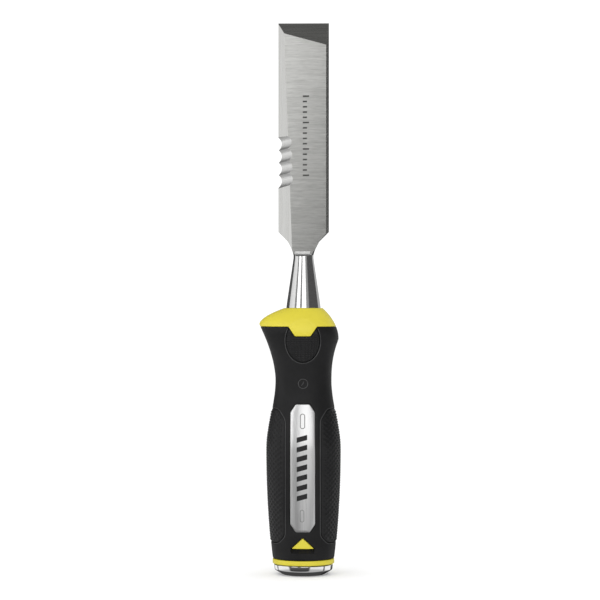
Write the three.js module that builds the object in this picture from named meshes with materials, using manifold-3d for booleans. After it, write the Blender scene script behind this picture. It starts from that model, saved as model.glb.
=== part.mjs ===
// Heavy-duty bench chisel: one steel forging with a through tang, a two-material handle with
// inset grip pads and nameplates, and a steel strike cap.
//
// Millimetres, +Z up. The origin is the centre of the strike cap's flat face. +Z runs along the
// tool to the cutting edge, the ground face of the blade looks along -Y, the thick spine is at
// +X and the thin, fluted edge is at -X.

import * as THREE from 'three';
import { mergeVertices } from 'three/addons/utils/BufferGeometryUtils.js';
import Module from 'manifold-3d';

const wasm = await Module();
wasm.setup();

// ---------------------------------------------------------------- driving dimensions

const CLEARANCE = 0.3;             // gap kept between pieces that touch
const ROUND_STEPS = 32;            // sides of a full turn
const OVERLAP = 1;                 // how far joined bodies and cutters reach into each other
const CUTTER_SIZE = 600;           // edge of the blocks that grind the flats

// Strike cap
const CAP_RADIUS = 14.5;
const CAP_DRAFT = 0.3;             // the wall draws in this much towards the striking end
const CAP_CHAMFER = { across: 4.3, high: 2.6, round: 0.5 };
const CAP_HEIGHT = 5.2;
const CAP_BOSS_HEIGHT = 12;        // hub that runs up inside the handle
const CAP_BOSS_WALL = 2.8;
const CAP_HOLE_FLOOR = 9;          // where the blind hole for the tang ends

// End ring and the washer inside it
const RING_HEIGHT = 2.4;
const RING_RADIUS = 15.2;
const RING_BEVEL = 0.7;
const WASHER_THICKNESS = 1.2;
const SPIGOT_RADIUS = 12;          // the core's lower end, which centres the ring

// Handle outline, seen from the front
const HANDLE_LENGTH = 122.9;       // from the end ring to the top of the collar
const BUTT_RADIUS = 15.1;
const BUTT_FULLNESS = 0.85;        // below 1, the handle swells sooner above the butt
const BELLY_HEIGHT = 53.8;         // above the end ring
const BELLY_HALF_WIDTH = 18.15;
const BELLY_HALF_DEPTH = 15.9;
const WAIST_DROP = 35.5;           // below the top of the collar
const WAIST_HALF_WIDTH = 13.8;
const WAIST_HALF_DEPTH = 12.4;
const GUARD_LEFT = { drop: 8, reach: 21.85, flare: 1.72, crown: 1.8 };
const GUARD_RIGHT = { drop: 15.4, reach: 17.3, flare: 2.3, crown: 2.1 };
const GUARD_FRONT = { drop: 12, reach: 15.2, flare: 2, crown: 2 };
const COLLAR_HEIGHT = 9;
const COLLAR_TOP_RADIUS = 9.5;
const BELLY_SQUARENESS = 2.3;      // 2 is a plain ellipse
const SLEEVE_WALL = 2.2;
const GRIP_STEP = 9;               // distance between cross-sections below the waist
const GUARD_STEP = 3.5;            // and above it
const SHORTEST_STEP = 0.5;

// Panels let into the sleeve
const PAD_THICKNESS = 1.2;
const PAD_INNER_EDGE = 9;          // from the tool's axis
const PAD_DROP = 49.4;             // below the top of the collar
const PAD_RISE = 8.1;              // above the end ring
const PAD_CORNER = { across: 3.3, top: 5.2, bottom: 3.6 };
const PLATE_THICKNESS = 0.8;
const PLATE_WIDTH = 12.3;
const PLATE_DROP = 46.8;
const PLATE_RISE = 13.8;
const PLATE_CORNER = { across: 2.7, along: 3.9 };
const THUMB_DROP = 16;             // centre of the thumb rest below the top of the collar
const THUMB_HALF_WIDTH = 8.3;
const THUMB_HALF_HEIGHT = 10.5;
const TAB_HEIGHT = 4.7;            // tongue of the collar that runs down over the thumb rest
const TAB_HALF_WIDTH_TOP = 7.1;
const TAB_HALF_WIDTH_BOTTOM = 3.9;
const ARROW_RISE = 5.7;            // triangular window above the end ring
const ARROW_HEIGHT = 5.1;
const ARROW_HALF_WIDTH = 5.9;
const ARROW_INSET = 0.6;
const ARROW_GAP = { side: 2, peak: 1.4 };  // shares of the gap at its slanting sides and its peak

// Bolster and tang
const BOLSTER_LENGTH = 27.9;       // from the collar to the start of the blade
const BOLSTER_RADIUS = 8.3;
const BOLSTER_SEAT = 1.5;          // depth that the bolster sits in the collar
const NECK_RADIUS = 4.93;
const NECK_STRAIGHT = 4.1;         // plain length below the blade
const CONE_FOOT = { rise: 2.4, draw: 0.12 };   // nearly straight foot of the cone
const CONE_HEAD = { drop: 2.2, spread: 0.42 }; // and the curve that runs it into the neck
const CONE_STEPS = 8;
const TANG_RADIUS = 4.5;
const TANG_END_RADIUS = 3.9;
const TANG_GROOVE = { pitch: 22, width: 3, depth: 0.6, rise: 25 };

// Blade
const BLADE_WIDTH = 25;
const BLADE_LENGTH = 112.85;       // from the neck to the cutting edge
const BACK_OFFSET = 3.2;           // flat back behind the tool's axis
const THIN_SIDE_THICKNESS = 2.6;   // where the side bevel meets the face, at the tip
const SIDE_BEVEL_WIDTH = 3;        // at the tip
const SIDE_EDGE_LAND = 0.3;
const FACE_TILT = 0.127;           // the face rises towards the spine
const FACE_TAPER = 0.0238;         // and towards the handle
const TIP_BEVEL_ANGLE = THREE.MathUtils.degToRad(25);
const TIP_LAND = 0.15;
const SPINE_CHAMFER = { across: 1.3, deep: 1.9 };
const SHOULDER_RISE = 9.6;         // from the neck to the full width
const SHOULDER_CORNER = 4.7;
const FLARE_DROP = 1.8;            // the neck starts to widen this far below the blade
const FLARE_PULL = { across: 0.5, rise: 0.9 };  // bends the shoulder's curve, from the neck
const FLARE_SPREAD = [{ across: 1.4, rise: 2 }, { across: 4, rise: 4.6 }];
const RUN_OUT = 1.3;               // the ground face runs on this far below the blade
const SHELF_RADIUS = 1.1;          // hollow corner between the face and the shelf under it
const BACK_COVE_RADIUS = 1.7;
const FLUTE = { count: 4, pitch: 6.13, depth: 1.66, radius: 5.2, drop: 59.65 };
const FLUTE_INCLINE = THREE.MathUtils.degToRad(41);
const FLUTE_RISE = THREE.MathUtils.degToRad(9);

// ---------------------------------------------------------------- levels that follow from them

const RING_BOTTOM = CAP_HEIGHT + CLEARANCE;
const RING_TOP = RING_BOTTOM + RING_HEIGHT;
const SLEEVE_BOTTOM = RING_TOP + CLEARANCE;
const COLLAR_TOP = SLEEVE_BOTTOM + HANDLE_LENGTH;
const COLLAR_BOTTOM = COLLAR_TOP - COLLAR_HEIGHT;
const SLEEVE_TOP = COLLAR_BOTTOM - CLEARANCE;
const WASHER_TOP = RING_BOTTOM + WASHER_THICKNESS;
const CORE_BOTTOM = WASHER_TOP + CLEARANCE;
const CAP_BOSS_TOP = CAP_HEIGHT + CAP_BOSS_HEIGHT;
const CAP_HOLE_RADIUS = TANG_END_RADIUS + CLEARANCE;
const CAP_BOSS_RADIUS = CAP_HOLE_RADIUS + CAP_BOSS_WALL;
const BELLY_Z = SLEEVE_BOTTOM + BELLY_HEIGHT;
const WAIST_Z = COLLAR_TOP - WAIST_DROP;
const NECK_Z = COLLAR_TOP + BOLSTER_LENGTH;
const TIP_Z = NECK_Z + BLADE_LENGTH;
const CORE_INSET = SLEEVE_WALL + CLEARANCE;
const REACH = 40;                  // safely past the handle's surface

// ---------------------------------------------------------------- solids

// Turns a closed geometry into a solid that can be joined and cut.
function solid(geometry) {
  const bare = geometry.clone();
  bare.deleteAttribute('normal');
  bare.deleteAttribute('uv');
  const merged = mergeVertices(bare, 1e-4);
  return new wasm.Manifold(new wasm.Mesh({
    numProp: 3,
    vertProperties: new Float32Array(merged.attributes.position.array),
    triVerts: new Uint32Array(merged.index.array),
  }));
}

// Turns a solid back into a geometry.
function geometryOf(shape) {
  const mesh = shape.getMesh();
  const geometry = new THREE.BufferGeometry();
  geometry.setAttribute('position', new THREE.BufferAttribute(mesh.vertProperties, 3));
  geometry.setIndex(new THREE.BufferAttribute(mesh.triVerts, 1));
  geometry.computeVertexNormals();
  return geometry;
}

// A turned body about the tool's axis, from [radius, height] points.
function turned(points) {
  const profile = points.map(([radius, height]) => new THREE.Vector2(radius, height));
  const geometry = new THREE.LatheGeometry(profile, ROUND_STEPS);
  geometry.rotateX(Math.PI / 2);
  return solid(geometry);
}

// A plain round rod on the axis, used as a part of a body or to bore a hole.
function rod(radius, from, to) {
  return turned([[0, from], [radius, from], [radius, to], [0, to]]);
}

// An outline drawn in X and Z, pushed through from yFront to yBack.
function prism(shape, yFront, yBack, curveSegments = 8) {
  const depth = yBack - yFront;
  const geometry = new THREE.ExtrudeGeometry(shape, { depth, bevelEnabled: false, curveSegments });
  geometry.rotateX(Math.PI / 2);
  geometry.translate(0, yBack, 0);
  return solid(geometry);
}

// A large block whose one face passes through a point and which fills the side that the normal
// points to, so subtracting it grinds a flat.
function halfSpace(point, normal) {
  const geometry = new THREE.BoxGeometry(CUTTER_SIZE, CUTTER_SIZE, CUTTER_SIZE);
  geometry.translate(0, 0, CUTTER_SIZE / 2);
  const up = new THREE.Vector3(0, 0, 1);
  const outward = new THREE.Vector3(...normal).normalize();
  geometry.applyQuaternion(new THREE.Quaternion().setFromUnitVectors(up, outward));
  geometry.translate(...point);
  return solid(geometry);
}

// A round bar of a given radius and direction, centred on a point.
function bar(radius, centre, direction, length) {
  const geometry = new THREE.CylinderGeometry(radius, radius, length, ROUND_STEPS);
  const own = new THREE.Vector3(0, 1, 0);
  const along = new THREE.Vector3(...direction).normalize();
  geometry.applyQuaternion(new THREE.Quaternion().setFromUnitVectors(own, along));
  geometry.translate(...centre);
  return solid(geometry);
}

function polygon(points) {
  return new THREE.Shape(points.map(([x, z]) => new THREE.Vector2(x, z)));
}

// ---------------------------------------------------------------- handle form

// Half the handle's size at a height, for one side of the guard: it swells from the butt to the
// belly, draws in at the waist, flares to the lip of the guard and rounds over to the collar's top.
function halfSize(z, belly, waist, guard) {
  const lip = COLLAR_TOP - guard.drop;
  if (z <= BELLY_Z) {
    const t = Math.max(0, (z - SLEEVE_BOTTOM) / BELLY_HEIGHT);
    return BUTT_RADIUS + (belly - BUTT_RADIUS) * Math.sin(t ** BUTT_FULLNESS * Math.PI / 2);
  }
  if (z <= WAIST_Z) {
    return THREE.MathUtils.lerp(belly, waist, THREE.MathUtils.smoothstep(z, BELLY_Z, WAIST_Z));
  }
  if (z <= lip) {
    return waist + (guard.reach - waist) * ((z - WAIST_Z) / (lip - WAIST_Z)) ** guard.flare;
  }
  const fall = ((z - lip) / guard.drop) ** guard.crown;
  return THREE.MathUtils.lerp(guard.reach, COLLAR_TOP_RADIUS, fall);
}

// The section is round at the butt and grows slightly square towards the belly.
function squareness(z) {
  const swell = THREE.MathUtils.smoothstep(z, SLEEVE_BOTTOM, BELLY_Z);
  return THREE.MathUtils.lerp(2, BELLY_SQUARENESS, swell);
}

function sectionPoint(z, angle, inset) {
  const guard = Math.cos(angle) < 0 ? GUARD_LEFT : GUARD_RIGHT;
  const acrossSize = halfSize(z, BELLY_HALF_WIDTH, WAIST_HALF_WIDTH, guard) - inset;
  const depthSize = halfSize(z, BELLY_HALF_DEPTH, WAIST_HALF_DEPTH, GUARD_FRONT) - inset;
  const bend = (value) => Math.sign(value) * Math.abs(value) ** (2 / squareness(z));
  return [bend(Math.cos(angle)) * acrossSize, bend(Math.sin(angle)) * depthSize, z];
}

// Heights of the cross-sections: one wherever the outline changes its law, and even steps between.
function sectionHeights() {
  const turns = [SLEEVE_BOTTOM, BELLY_Z, WAIST_Z, COLLAR_BOTTOM, COLLAR_TOP];
  for (const guard of [GUARD_LEFT, GUARD_RIGHT, GUARD_FRONT]) turns.push(COLLAR_TOP - guard.drop);
  turns.sort((a, b) => a - b);
  const heights = [turns[0]];
  for (let i = 1; i < turns.length; i++) {
    const [low, high] = [turns[i - 1], turns[i]];
    const steps = Math.ceil((high - low) / (high > WAIST_Z ? GUARD_STEP : GRIP_STEP));
    for (let k = 1; k <= steps; k++) heights.push(low + (high - low) * k / steps);
  }
  return heights;
}

// The handle's form, drawn in by an inset, between two heights. All forms share their
// cross-sections, so walls and gaps between two of them stay even.
function form(inset, from, to) {
  const inside = (z) => z > from + SHORTEST_STEP && z < to - SHORTEST_STEP;
  const between = sectionHeights().filter(inside);
  const heights = [from, ...between, to];

  const positions = [];
  for (const z of heights) {
    for (let i = 0; i < ROUND_STEPS; i++) {
      positions.push(...sectionPoint(z, 2 * Math.PI * i / ROUND_STEPS, inset));
    }
  }
  positions.push(0, 0, from, 0, 0, to);

  const index = [];
  const bottomCentre = heights.length * ROUND_STEPS;
  const lastRing = bottomCentre - ROUND_STEPS;
  for (let i = 0; i < ROUND_STEPS; i++) {
    const next = (i + 1) % ROUND_STEPS;
    for (let ring = 0; ring < lastRing; ring += ROUND_STEPS) {
      index.push(ring + i, ring + next, ring + ROUND_STEPS + next);
      index.push(ring + i, ring + ROUND_STEPS + next, ring + ROUND_STEPS + i);
    }
    index.push(bottomCentre, next, i);
    index.push(bottomCentre + 1, lastRing + i, lastRing + next);
  }
  const geometry = new THREE.BufferGeometry();
  geometry.setAttribute('position', new THREE.Float32BufferAttribute(positions, 3));
  geometry.setIndex(index);
  return solid(geometry);
}

const outerForm = form(0, SLEEVE_BOTTOM, COLLAR_TOP);

// The form drawn in by a depth and a little too long at both ends, for cutting with.
function innerForm(depth) {
  return form(depth, SLEEVE_BOTTOM - OVERLAP, COLLAR_TOP + OVERLAP);
}

// The layer of the handle's wall inside an outline, from its surface down to a depth.
function panel(outline, depth) {
  return outline.intersect(outerForm).subtract(innerForm(depth));
}

// The pocket that such a panel lies in, open to the outside.
function pocket(outline, depth) {
  return outline.subtract(innerForm(depth + CLEARANCE));
}

// ---------------------------------------------------------------- outlines on the handle

// Each outline takes how far it is grown all round, and the side that it is on: -1 is the front
// or the left of the tool, +1 the back or the right.
function depthRange(side) {
  return side < 0 ? [-REACH, 0] : [0, REACH];
}

function plateOutline(side, grow = 0) {
  const half = PLATE_WIDTH / 2 + grow;
  const low = SLEEVE_BOTTOM + PLATE_RISE - grow;
  const high = COLLAR_TOP - PLATE_DROP + grow;
  const { across, along } = PLATE_CORNER;
  return prism(polygon([
    [-half + across, low], [half - across, low], [half, low + along], [half, high - along],
    [half - across, high], [-half + across, high], [-half, high - along], [-half, low + along],
  ]), ...depthRange(side));
}

function padOutline(side, grow = 0) {
  const inner = PAD_INNER_EDGE - grow;
  const low = SLEEVE_BOTTOM + PAD_RISE - grow;
  const high = COLLAR_TOP - PAD_DROP + grow;
  const { across, top, bottom } = PAD_CORNER;
  const points = [
    [inner, low + bottom], [inner + across, low], [REACH, low],
    [REACH, high], [inner + across, high], [inner, high - top],
  ].map(([x, z]) => [side * x, z]);
  return prism(polygon(side < 0 ? points.reverse() : points), -REACH, REACH);
}

function thumbOutline(side, grow = 0) {
  const shape = new THREE.Shape();
  shape.absellipse(0, COLLAR_TOP - THUMB_DROP, THUMB_HALF_WIDTH + grow, THUMB_HALF_HEIGHT + grow,
    0, 2 * Math.PI);
  return prism(shape, ...depthRange(side), ROUND_STEPS / 2);
}

function tabOutline(side, grow = 0) {
  const top = TAB_HALF_WIDTH_TOP + grow;
  const bottom = TAB_HALF_WIDTH_BOTTOM + grow;
  const low = COLLAR_BOTTOM - TAB_HEIGHT - grow;
  return prism(polygon([
    [-bottom, low], [bottom, low], [top, COLLAR_BOTTOM], [top, COLLAR_BOTTOM + OVERLAP],
    [-top, COLLAR_BOTTOM + OVERLAP], [-top, COLLAR_BOTTOM],
  ]), ...depthRange(side));
}

function arrowOutline(side, grow = 0) {
  const half = ARROW_HALF_WIDTH + ARROW_GAP.side * grow;
  const low = SLEEVE_BOTTOM + ARROW_RISE;
  const peak = low + ARROW_HEIGHT + ARROW_GAP.peak * grow;
  return prism(polygon([[-half, low - grow], [half, low - grow], [0, peak]]), ...depthRange(side));
}

// ---------------------------------------------------------------- pieces

const FRONT_AND_BACK = [-1, 1];

// The core: the collar, its two tongues, the two triangular bosses and the long inner body, bored
// for the tang and for the cap's hub.
function handleCore() {
  let core = form(CORE_INSET, SLEEVE_BOTTOM, COLLAR_BOTTOM + OVERLAP)
    .add(form(0, COLLAR_BOTTOM, COLLAR_TOP))
    .add(rod(SPIGOT_RADIUS, CORE_BOTTOM, SLEEVE_BOTTOM + OVERLAP));
  for (const side of FRONT_AND_BACK) {
    core = core.add(panel(tabOutline(side), CORE_INSET + OVERLAP));
    core = core.add(arrowOutline(side)
      .intersect(form(ARROW_INSET, SLEEVE_BOTTOM, COLLAR_TOP))
      .subtract(innerForm(CORE_INSET + OVERLAP)));
  }
  const bore = CORE_BOTTOM - OVERLAP;
  const seat = COLLAR_TOP - BOLSTER_SEAT - CLEARANCE;
  return core
    .subtract(rod(TANG_RADIUS + CLEARANCE, bore, COLLAR_TOP))
    .subtract(rod(CAP_BOSS_RADIUS + CLEARANCE, bore, CAP_BOSS_TOP + CLEARANCE))
    .subtract(rod(BOLSTER_RADIUS + CLEARANCE, seat, COLLAR_TOP + OVERLAP));
}

// The soft sleeve moulded over the core, with windows for what shows through it and a pocket for
// each panel.
function gripSleeve() {
  let sleeve = form(0, SLEEVE_BOTTOM, SLEEVE_TOP)
    .subtract(form(SLEEVE_WALL, SLEEVE_BOTTOM - OVERLAP, SLEEVE_TOP + OVERLAP));
  for (const side of FRONT_AND_BACK) {
    sleeve = sleeve
      .subtract(tabOutline(side, CLEARANCE))
      .subtract(arrowOutline(side, CLEARANCE))
      .subtract(pocket(plateOutline(side, CLEARANCE), PLATE_THICKNESS))
      .subtract(pocket(thumbOutline(side, CLEARANCE), PAD_THICKNESS))
      .subtract(pocket(padOutline(side, CLEARANCE), PAD_THICKNESS));
  }
  return sleeve;
}

function thumbPad(side) {
  return panel(thumbOutline(side), PAD_THICKNESS)
    .subtract(tabOutline(side, CLEARANCE))
    .subtract(halfSpace([0, 0, SLEEVE_TOP], [0, 0, 1]));
}

function endRing() {
  const inner = SPIGOT_RADIUS + CLEARANCE;
  const bevelled = RING_RADIUS - RING_BEVEL;
  return turned([
    [inner, RING_BOTTOM], [bevelled, RING_BOTTOM], [RING_RADIUS, RING_BOTTOM + RING_BEVEL],
    [RING_RADIUS, RING_TOP], [inner, RING_TOP], [inner, RING_BOTTOM],
  ]);
}

function capWasher() {
  const inner = CAP_BOSS_RADIUS + CLEARANCE;
  const outer = SPIGOT_RADIUS;
  return turned([
    [inner, RING_BOTTOM], [outer, RING_BOTTOM], [outer, WASHER_TOP],
    [inner, WASHER_TOP], [inner, RING_BOTTOM],
  ]);
}

// The cap has a broad chamfer round its striking face, and its hub takes the tang's end.
function strikeCap() {
  const { across, high, round } = CAP_CHAMFER;
  const rim = CAP_RADIUS - CAP_DRAFT;
  return turned([
    [0, 0], [rim - across, 0], [rim - round, high - round], [rim, high], [CAP_RADIUS, CAP_HEIGHT],
    [CAP_BOSS_RADIUS, CAP_HEIGHT], [CAP_BOSS_RADIUS, CAP_BOSS_TOP], [CAP_HOLE_RADIUS, CAP_BOSS_TOP],
    [CAP_HOLE_RADIUS, CAP_HOLE_FLOOR], [0, CAP_HOLE_FLOOR],
  ]);
}

// The round part of the forging: tang with its grip grooves, cone bolster and neck.
function tangAndBolster() {
  const seat = COLLAR_TOP - BOLSTER_SEAT;
  const endTop = CAP_BOSS_TOP + CLEARANCE;
  const points = [
    [0, CAP_HOLE_FLOOR + CLEARANCE], [TANG_END_RADIUS, CAP_HOLE_FLOOR + CLEARANCE],
    [TANG_END_RADIUS, endTop], [TANG_RADIUS, endTop],
  ];
  const { pitch, width, depth, rise } = TANG_GROOVE;
  for (let low = endTop + rise; low + 2 * width < seat; low += pitch) {
    points.push([TANG_RADIUS, low], [TANG_RADIUS - depth, low + depth]);
    points.push([TANG_RADIUS - depth, low + width - depth], [TANG_RADIUS, low + width]);
  }
  const coneTop = NECK_Z - NECK_STRAIGHT;
  const flank = new THREE.SplineCurve([
    new THREE.Vector2(BOLSTER_RADIUS, COLLAR_TOP),
    new THREE.Vector2(BOLSTER_RADIUS - CONE_FOOT.draw, COLLAR_TOP + CONE_FOOT.rise),
    new THREE.Vector2(NECK_RADIUS + CONE_HEAD.spread, coneTop - CONE_HEAD.drop),
    new THREE.Vector2(NECK_RADIUS, coneTop + OVERLAP),
  ]);
  points.push([TANG_RADIUS, seat], [BOLSTER_RADIUS, seat]);
  points.push(...flank.getPoints(CONE_STEPS).map((point) => [point.x, point.y]));
  const neckTop = NECK_Z + NECK_STRAIGHT;
  points.push([NECK_RADIUS, neckTop], [0, neckTop]);
  return turned(points);
}

// The flat of the blade before its neck is blended: width, shoulders and an even thickness.
function bladeBlank() {
  const half = BLADE_WIDTH / 2;
  const shoulder = NECK_Z + SHOULDER_RISE;
  const elbow = [half - SHOULDER_CORNER, shoulder - SHOULDER_CORNER];
  const low = NECK_Z - FLARE_DROP;
  const pull = [NECK_RADIUS + FLARE_PULL.across, NECK_Z + FLARE_PULL.rise];
  const outline = new THREE.Shape();
  outline.moveTo(-NECK_RADIUS, low);
  outline.lineTo(NECK_RADIUS, low);
  outline.quadraticCurveTo(...pull, ...elbow);
  outline.lineTo(half, shoulder);
  outline.lineTo(half, TIP_Z);
  outline.lineTo(-half, TIP_Z);
  outline.lineTo(-half, shoulder);
  outline.lineTo(-elbow[0], elbow[1]);
  outline.quadraticCurveTo(-pull[0], pull[1], -NECK_RADIUS, low);
  const blend = turned([
    [0, low - OVERLAP], [NECK_RADIUS, low - OVERLAP], [NECK_RADIUS, low],
    ...FLARE_SPREAD.map(({ across, rise }) => [NECK_RADIUS + across, low + rise]),
    [2 * BLADE_WIDTH, low + 2 * BLADE_WIDTH], [2 * BLADE_WIDTH, TIP_Z + OVERLAP],
    [0, TIP_Z + OVERLAP],
  ]);
  return prism(outline, -BLADE_WIDTH / 2, BACK_OFFSET).intersect(blend);
}

// How thick the blade is under its ground face.
function faceThickness(x, z) {
  const cornerX = SIDE_BEVEL_WIDTH - BLADE_WIDTH / 2;
  const cornerZ = TIP_Z - THIN_SIDE_THICKNESS / Math.tan(TIP_BEVEL_ANGLE);
  return THIN_SIDE_THICKNESS + FACE_TILT * (x - cornerX) + FACE_TAPER * (cornerZ - z);
}

// What the grinding wheels take off the forging: face, side bevel, tip bevel and spine chamfer,
// the shelf where the face runs out at the neck and the cove at the back.
function blade() {
  const half = BLADE_WIDTH / 2;
  const faceY = BACK_OFFSET - faceThickness(0, NECK_Z);
  const faceNormal = [-FACE_TILT, -1, FACE_TAPER];
  const inFrontOfFace = halfSpace([0, faceY, NECK_Z], faceNormal);
  const overShelf = halfSpace([0, faceY - SHELF_RADIUS, NECK_Z], faceNormal);
  const behindBack = halfSpace([0, BACK_OFFSET, NECK_Z], [0, 1, 0]);
  const runOut = NECK_Z - RUN_OUT;
  const above = (z) => halfSpace([0, 0, z], [0, 0, 1]);
  const bevelSlope = (THIN_SIDE_THICKNESS - SIDE_EDGE_LAND) / SIDE_BEVEL_WIDTH;
  const chamferX = half - SPINE_CHAMFER.across;
  const chamferY = BACK_OFFSET - faceThickness(chamferX, TIP_Z);
  const chamferRise = SPINE_CHAMFER.deep + FACE_TILT * SPINE_CHAMFER.across;
  const shelfCorner = [0, faceY - SHELF_RADIUS, runOut];
  const backCove = [0, BACK_OFFSET + BACK_COVE_RADIUS, NECK_Z];

  const round = tangAndBolster()
    .subtract(inFrontOfFace.intersect(above(runOut)))
    .subtract(overShelf.intersect(above(runOut - SHELF_RADIUS)))
    .subtract(bar(SHELF_RADIUS, shelfCorner, [1, -FACE_TILT, 0], BLADE_WIDTH))
    .subtract(behindBack.intersect(above(NECK_Z)))
    .subtract(bar(BACK_COVE_RADIUS, backCove, [1, 0, 0], BLADE_WIDTH));

  let flat = bladeBlank()
    .subtract(inFrontOfFace)
    .subtract(halfSpace([-half, BACK_OFFSET - SIDE_EDGE_LAND, 0], [-bevelSlope, -1, 0]))
    .subtract(halfSpace([0, BACK_OFFSET - TIP_LAND, TIP_Z], [0, -1, Math.tan(TIP_BEVEL_ANGLE)]))
    .subtract(halfSpace(
      [chamferX, chamferY, TIP_Z],
      [chamferRise, -SPINE_CHAMFER.across, SPINE_CHAMFER.across * FACE_TAPER],
    ));

  const rise = Math.tan(FLUTE_RISE) * Math.cos(FLUTE_INCLINE);
  const along = [Math.cos(FLUTE_INCLINE), -Math.sin(FLUTE_INCLINE), rise];
  for (let i = 0; i < FLUTE.count; i++) {
    const centre = [
      -half + FLUTE.depth - FLUTE.radius * Math.sin(FLUTE_INCLINE),
      BACK_OFFSET - FLUTE.radius * Math.cos(FLUTE_INCLINE),
      TIP_Z - FLUTE.drop - i * FLUTE.pitch,
    ];
    flat = flat.subtract(bar(FLUTE.radius, centre, along, 3 * FLUTE.radius));
  }
  return flat.add(round);
}

// ---------------------------------------------------------------- materials and assembly

function material(color, roughness, metalness) {
  return new THREE.MeshStandardMaterial({ color, roughness, metalness });
}

const groundSteel = material(0xb4b5b2, 0.35, 1);
const polishedSteel = material(0xc4c6c8, 0.12, 1);
const yellowPlastic = material(0xe3d83a, 0.45, 0);
const softBlack = material(0x2b2c2e, 0.7, 0);
const texturedBlack = material(0x252628, 0.85, 0);
const brushedPlate = material(0xc0c2c3, 0.3, 1);
const zincWasher = material(0x9a9c9e, 0.4, 1);

const chisel = new THREE.Group();

function add(name, shape, finish) {
  const mesh = new THREE.Mesh(geometryOf(shape), finish);
  mesh.name = name;
  chisel.add(mesh);
}

add('blade', blade(), groundSteel);
add('handle_core', handleCore(), yellowPlastic);
add('grip_sleeve', gripSleeve(), softBlack);
add('grip_pad_left', panel(padOutline(-1), PAD_THICKNESS), texturedBlack);
add('grip_pad_right', panel(padOutline(1), PAD_THICKNESS), texturedBlack);
add('thumb_pad_front', thumbPad(-1), texturedBlack);
add('thumb_pad_rear', thumbPad(1), texturedBlack);
add('nameplate_front', panel(plateOutline(-1), PLATE_THICKNESS), brushedPlate);
add('nameplate_rear', panel(plateOutline(1), PLATE_THICKNESS), brushedPlate);
add('end_ring', endRing(), yellowPlastic);
add('cap_washer', capWasher(), zincWasher);
add('strike_cap', strikeCap(), polishedSteel);

export default chisel;
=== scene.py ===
# %% [markdown]
# # A bench chisel with a side-strike blade
# A chisel like this is made by several trades. A smith forges one bar into blade, cone and tang, a
# grinder cuts the flat facets, a moulder casts a hard yellow core and a soft black sleeve over the
# tang, and a press closes it with a steel cap. The lesson follows those trades piece by piece.
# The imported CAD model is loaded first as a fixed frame. It says where each piece sits, so no
# piece here needs fitting. Everything below is worked out in millimetres and turned into metres
# in one place, because millimetres are what such a tool is drawn in.

# %% Load the frame
import math

import bmesh
import bpy
import numpy as np
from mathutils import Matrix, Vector, kdtree
from mathutils.geometry import delaunay_2d_cdt


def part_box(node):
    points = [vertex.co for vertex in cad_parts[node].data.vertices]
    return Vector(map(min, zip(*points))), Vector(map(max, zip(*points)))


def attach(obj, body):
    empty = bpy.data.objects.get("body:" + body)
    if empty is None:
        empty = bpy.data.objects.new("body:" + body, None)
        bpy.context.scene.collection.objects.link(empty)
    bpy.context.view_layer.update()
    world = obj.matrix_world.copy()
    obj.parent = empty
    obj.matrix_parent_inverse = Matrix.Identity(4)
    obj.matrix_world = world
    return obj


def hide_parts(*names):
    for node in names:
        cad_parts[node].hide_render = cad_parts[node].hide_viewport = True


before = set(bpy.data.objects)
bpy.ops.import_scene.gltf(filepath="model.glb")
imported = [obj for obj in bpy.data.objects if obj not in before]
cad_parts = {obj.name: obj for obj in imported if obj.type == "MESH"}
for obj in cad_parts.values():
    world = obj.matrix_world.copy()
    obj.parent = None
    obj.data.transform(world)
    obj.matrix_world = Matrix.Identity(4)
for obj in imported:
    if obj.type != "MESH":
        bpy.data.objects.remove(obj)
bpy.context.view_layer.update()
MM = 0.001
print("nodes in the frame:", ", ".join(sorted(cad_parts)))

# %% Levels read from the frame
def heights(node):
    """Lowest and highest level of a CAD node, in millimetres."""
    low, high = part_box(node)
    return low.z / MM, high.z / MM


CLEARANCE = 0.3
cap_bottom, _ = heights("strike_cap")
ring_bottom, ring_top = heights("end_ring")
sleeve_bottom, sleeve_top = heights("grip_sleeve")
core_bottom, collar_top = heights("handle_core")
tang_end, tip_level = heights("blade")
collar_bottom = sleeve_top + CLEARANCE
SLEEVE_LIFT = 0.2  # the soft rubber closes in on the collar a little
sleeve_rim = sleeve_top + SLEEVE_LIFT
print(f"sleeve {sleeve_bottom:.1f} to {sleeve_top:.1f} mm")
print(f"collar top {collar_top:.1f} mm, tip {tip_level:.1f} mm")

# %% [markdown]
# ## The form of the handle
# Sleeve, core, pads and plates all share one outer form: round at the butt, fuller at the belly,
# slim at the waist and flared to a lip under the collar. Blender could sculpt it, but a formula
# is exact and lets every layer follow the same surface at its own depth. A point on the form is
# named by its turn round the handle (0 in front, growing to the right, half a turn at the back),
# its height, and its inset, which is how far below the skin it lies.

# %% Half the handle's size at a height
BELLY_LEVEL = sleeve_bottom + 53.8
WAIST_LEVEL = collar_top - 35.5
BUTT_RADIUS = 15.1
BUTT_FULLNESS = 0.85
COLLAR_TOP_RADIUS = 9.5
BELLY = {"across": 18.15, "deep": 15.9}
WAIST = {"across": 13.8, "deep": 12.4}
GUARD_LEFT = {"drop": 8, "reach": 21.85, "flare": 1.72, "crown": 1.8}
GUARD_RIGHT = {"drop": 15.4, "reach": 17.3, "flare": 2.3, "crown": 2.1}
GUARD_FRONT = {"drop": 12, "reach": 15.2, "flare": 2, "crown": 2}


def ease(value, start, end):
    """0 before start, 1 after end, and a smooth rise between them."""
    t = np.clip((value - start) / (end - start), 0, 1)
    return t * t * (3 - 2 * t)


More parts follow.
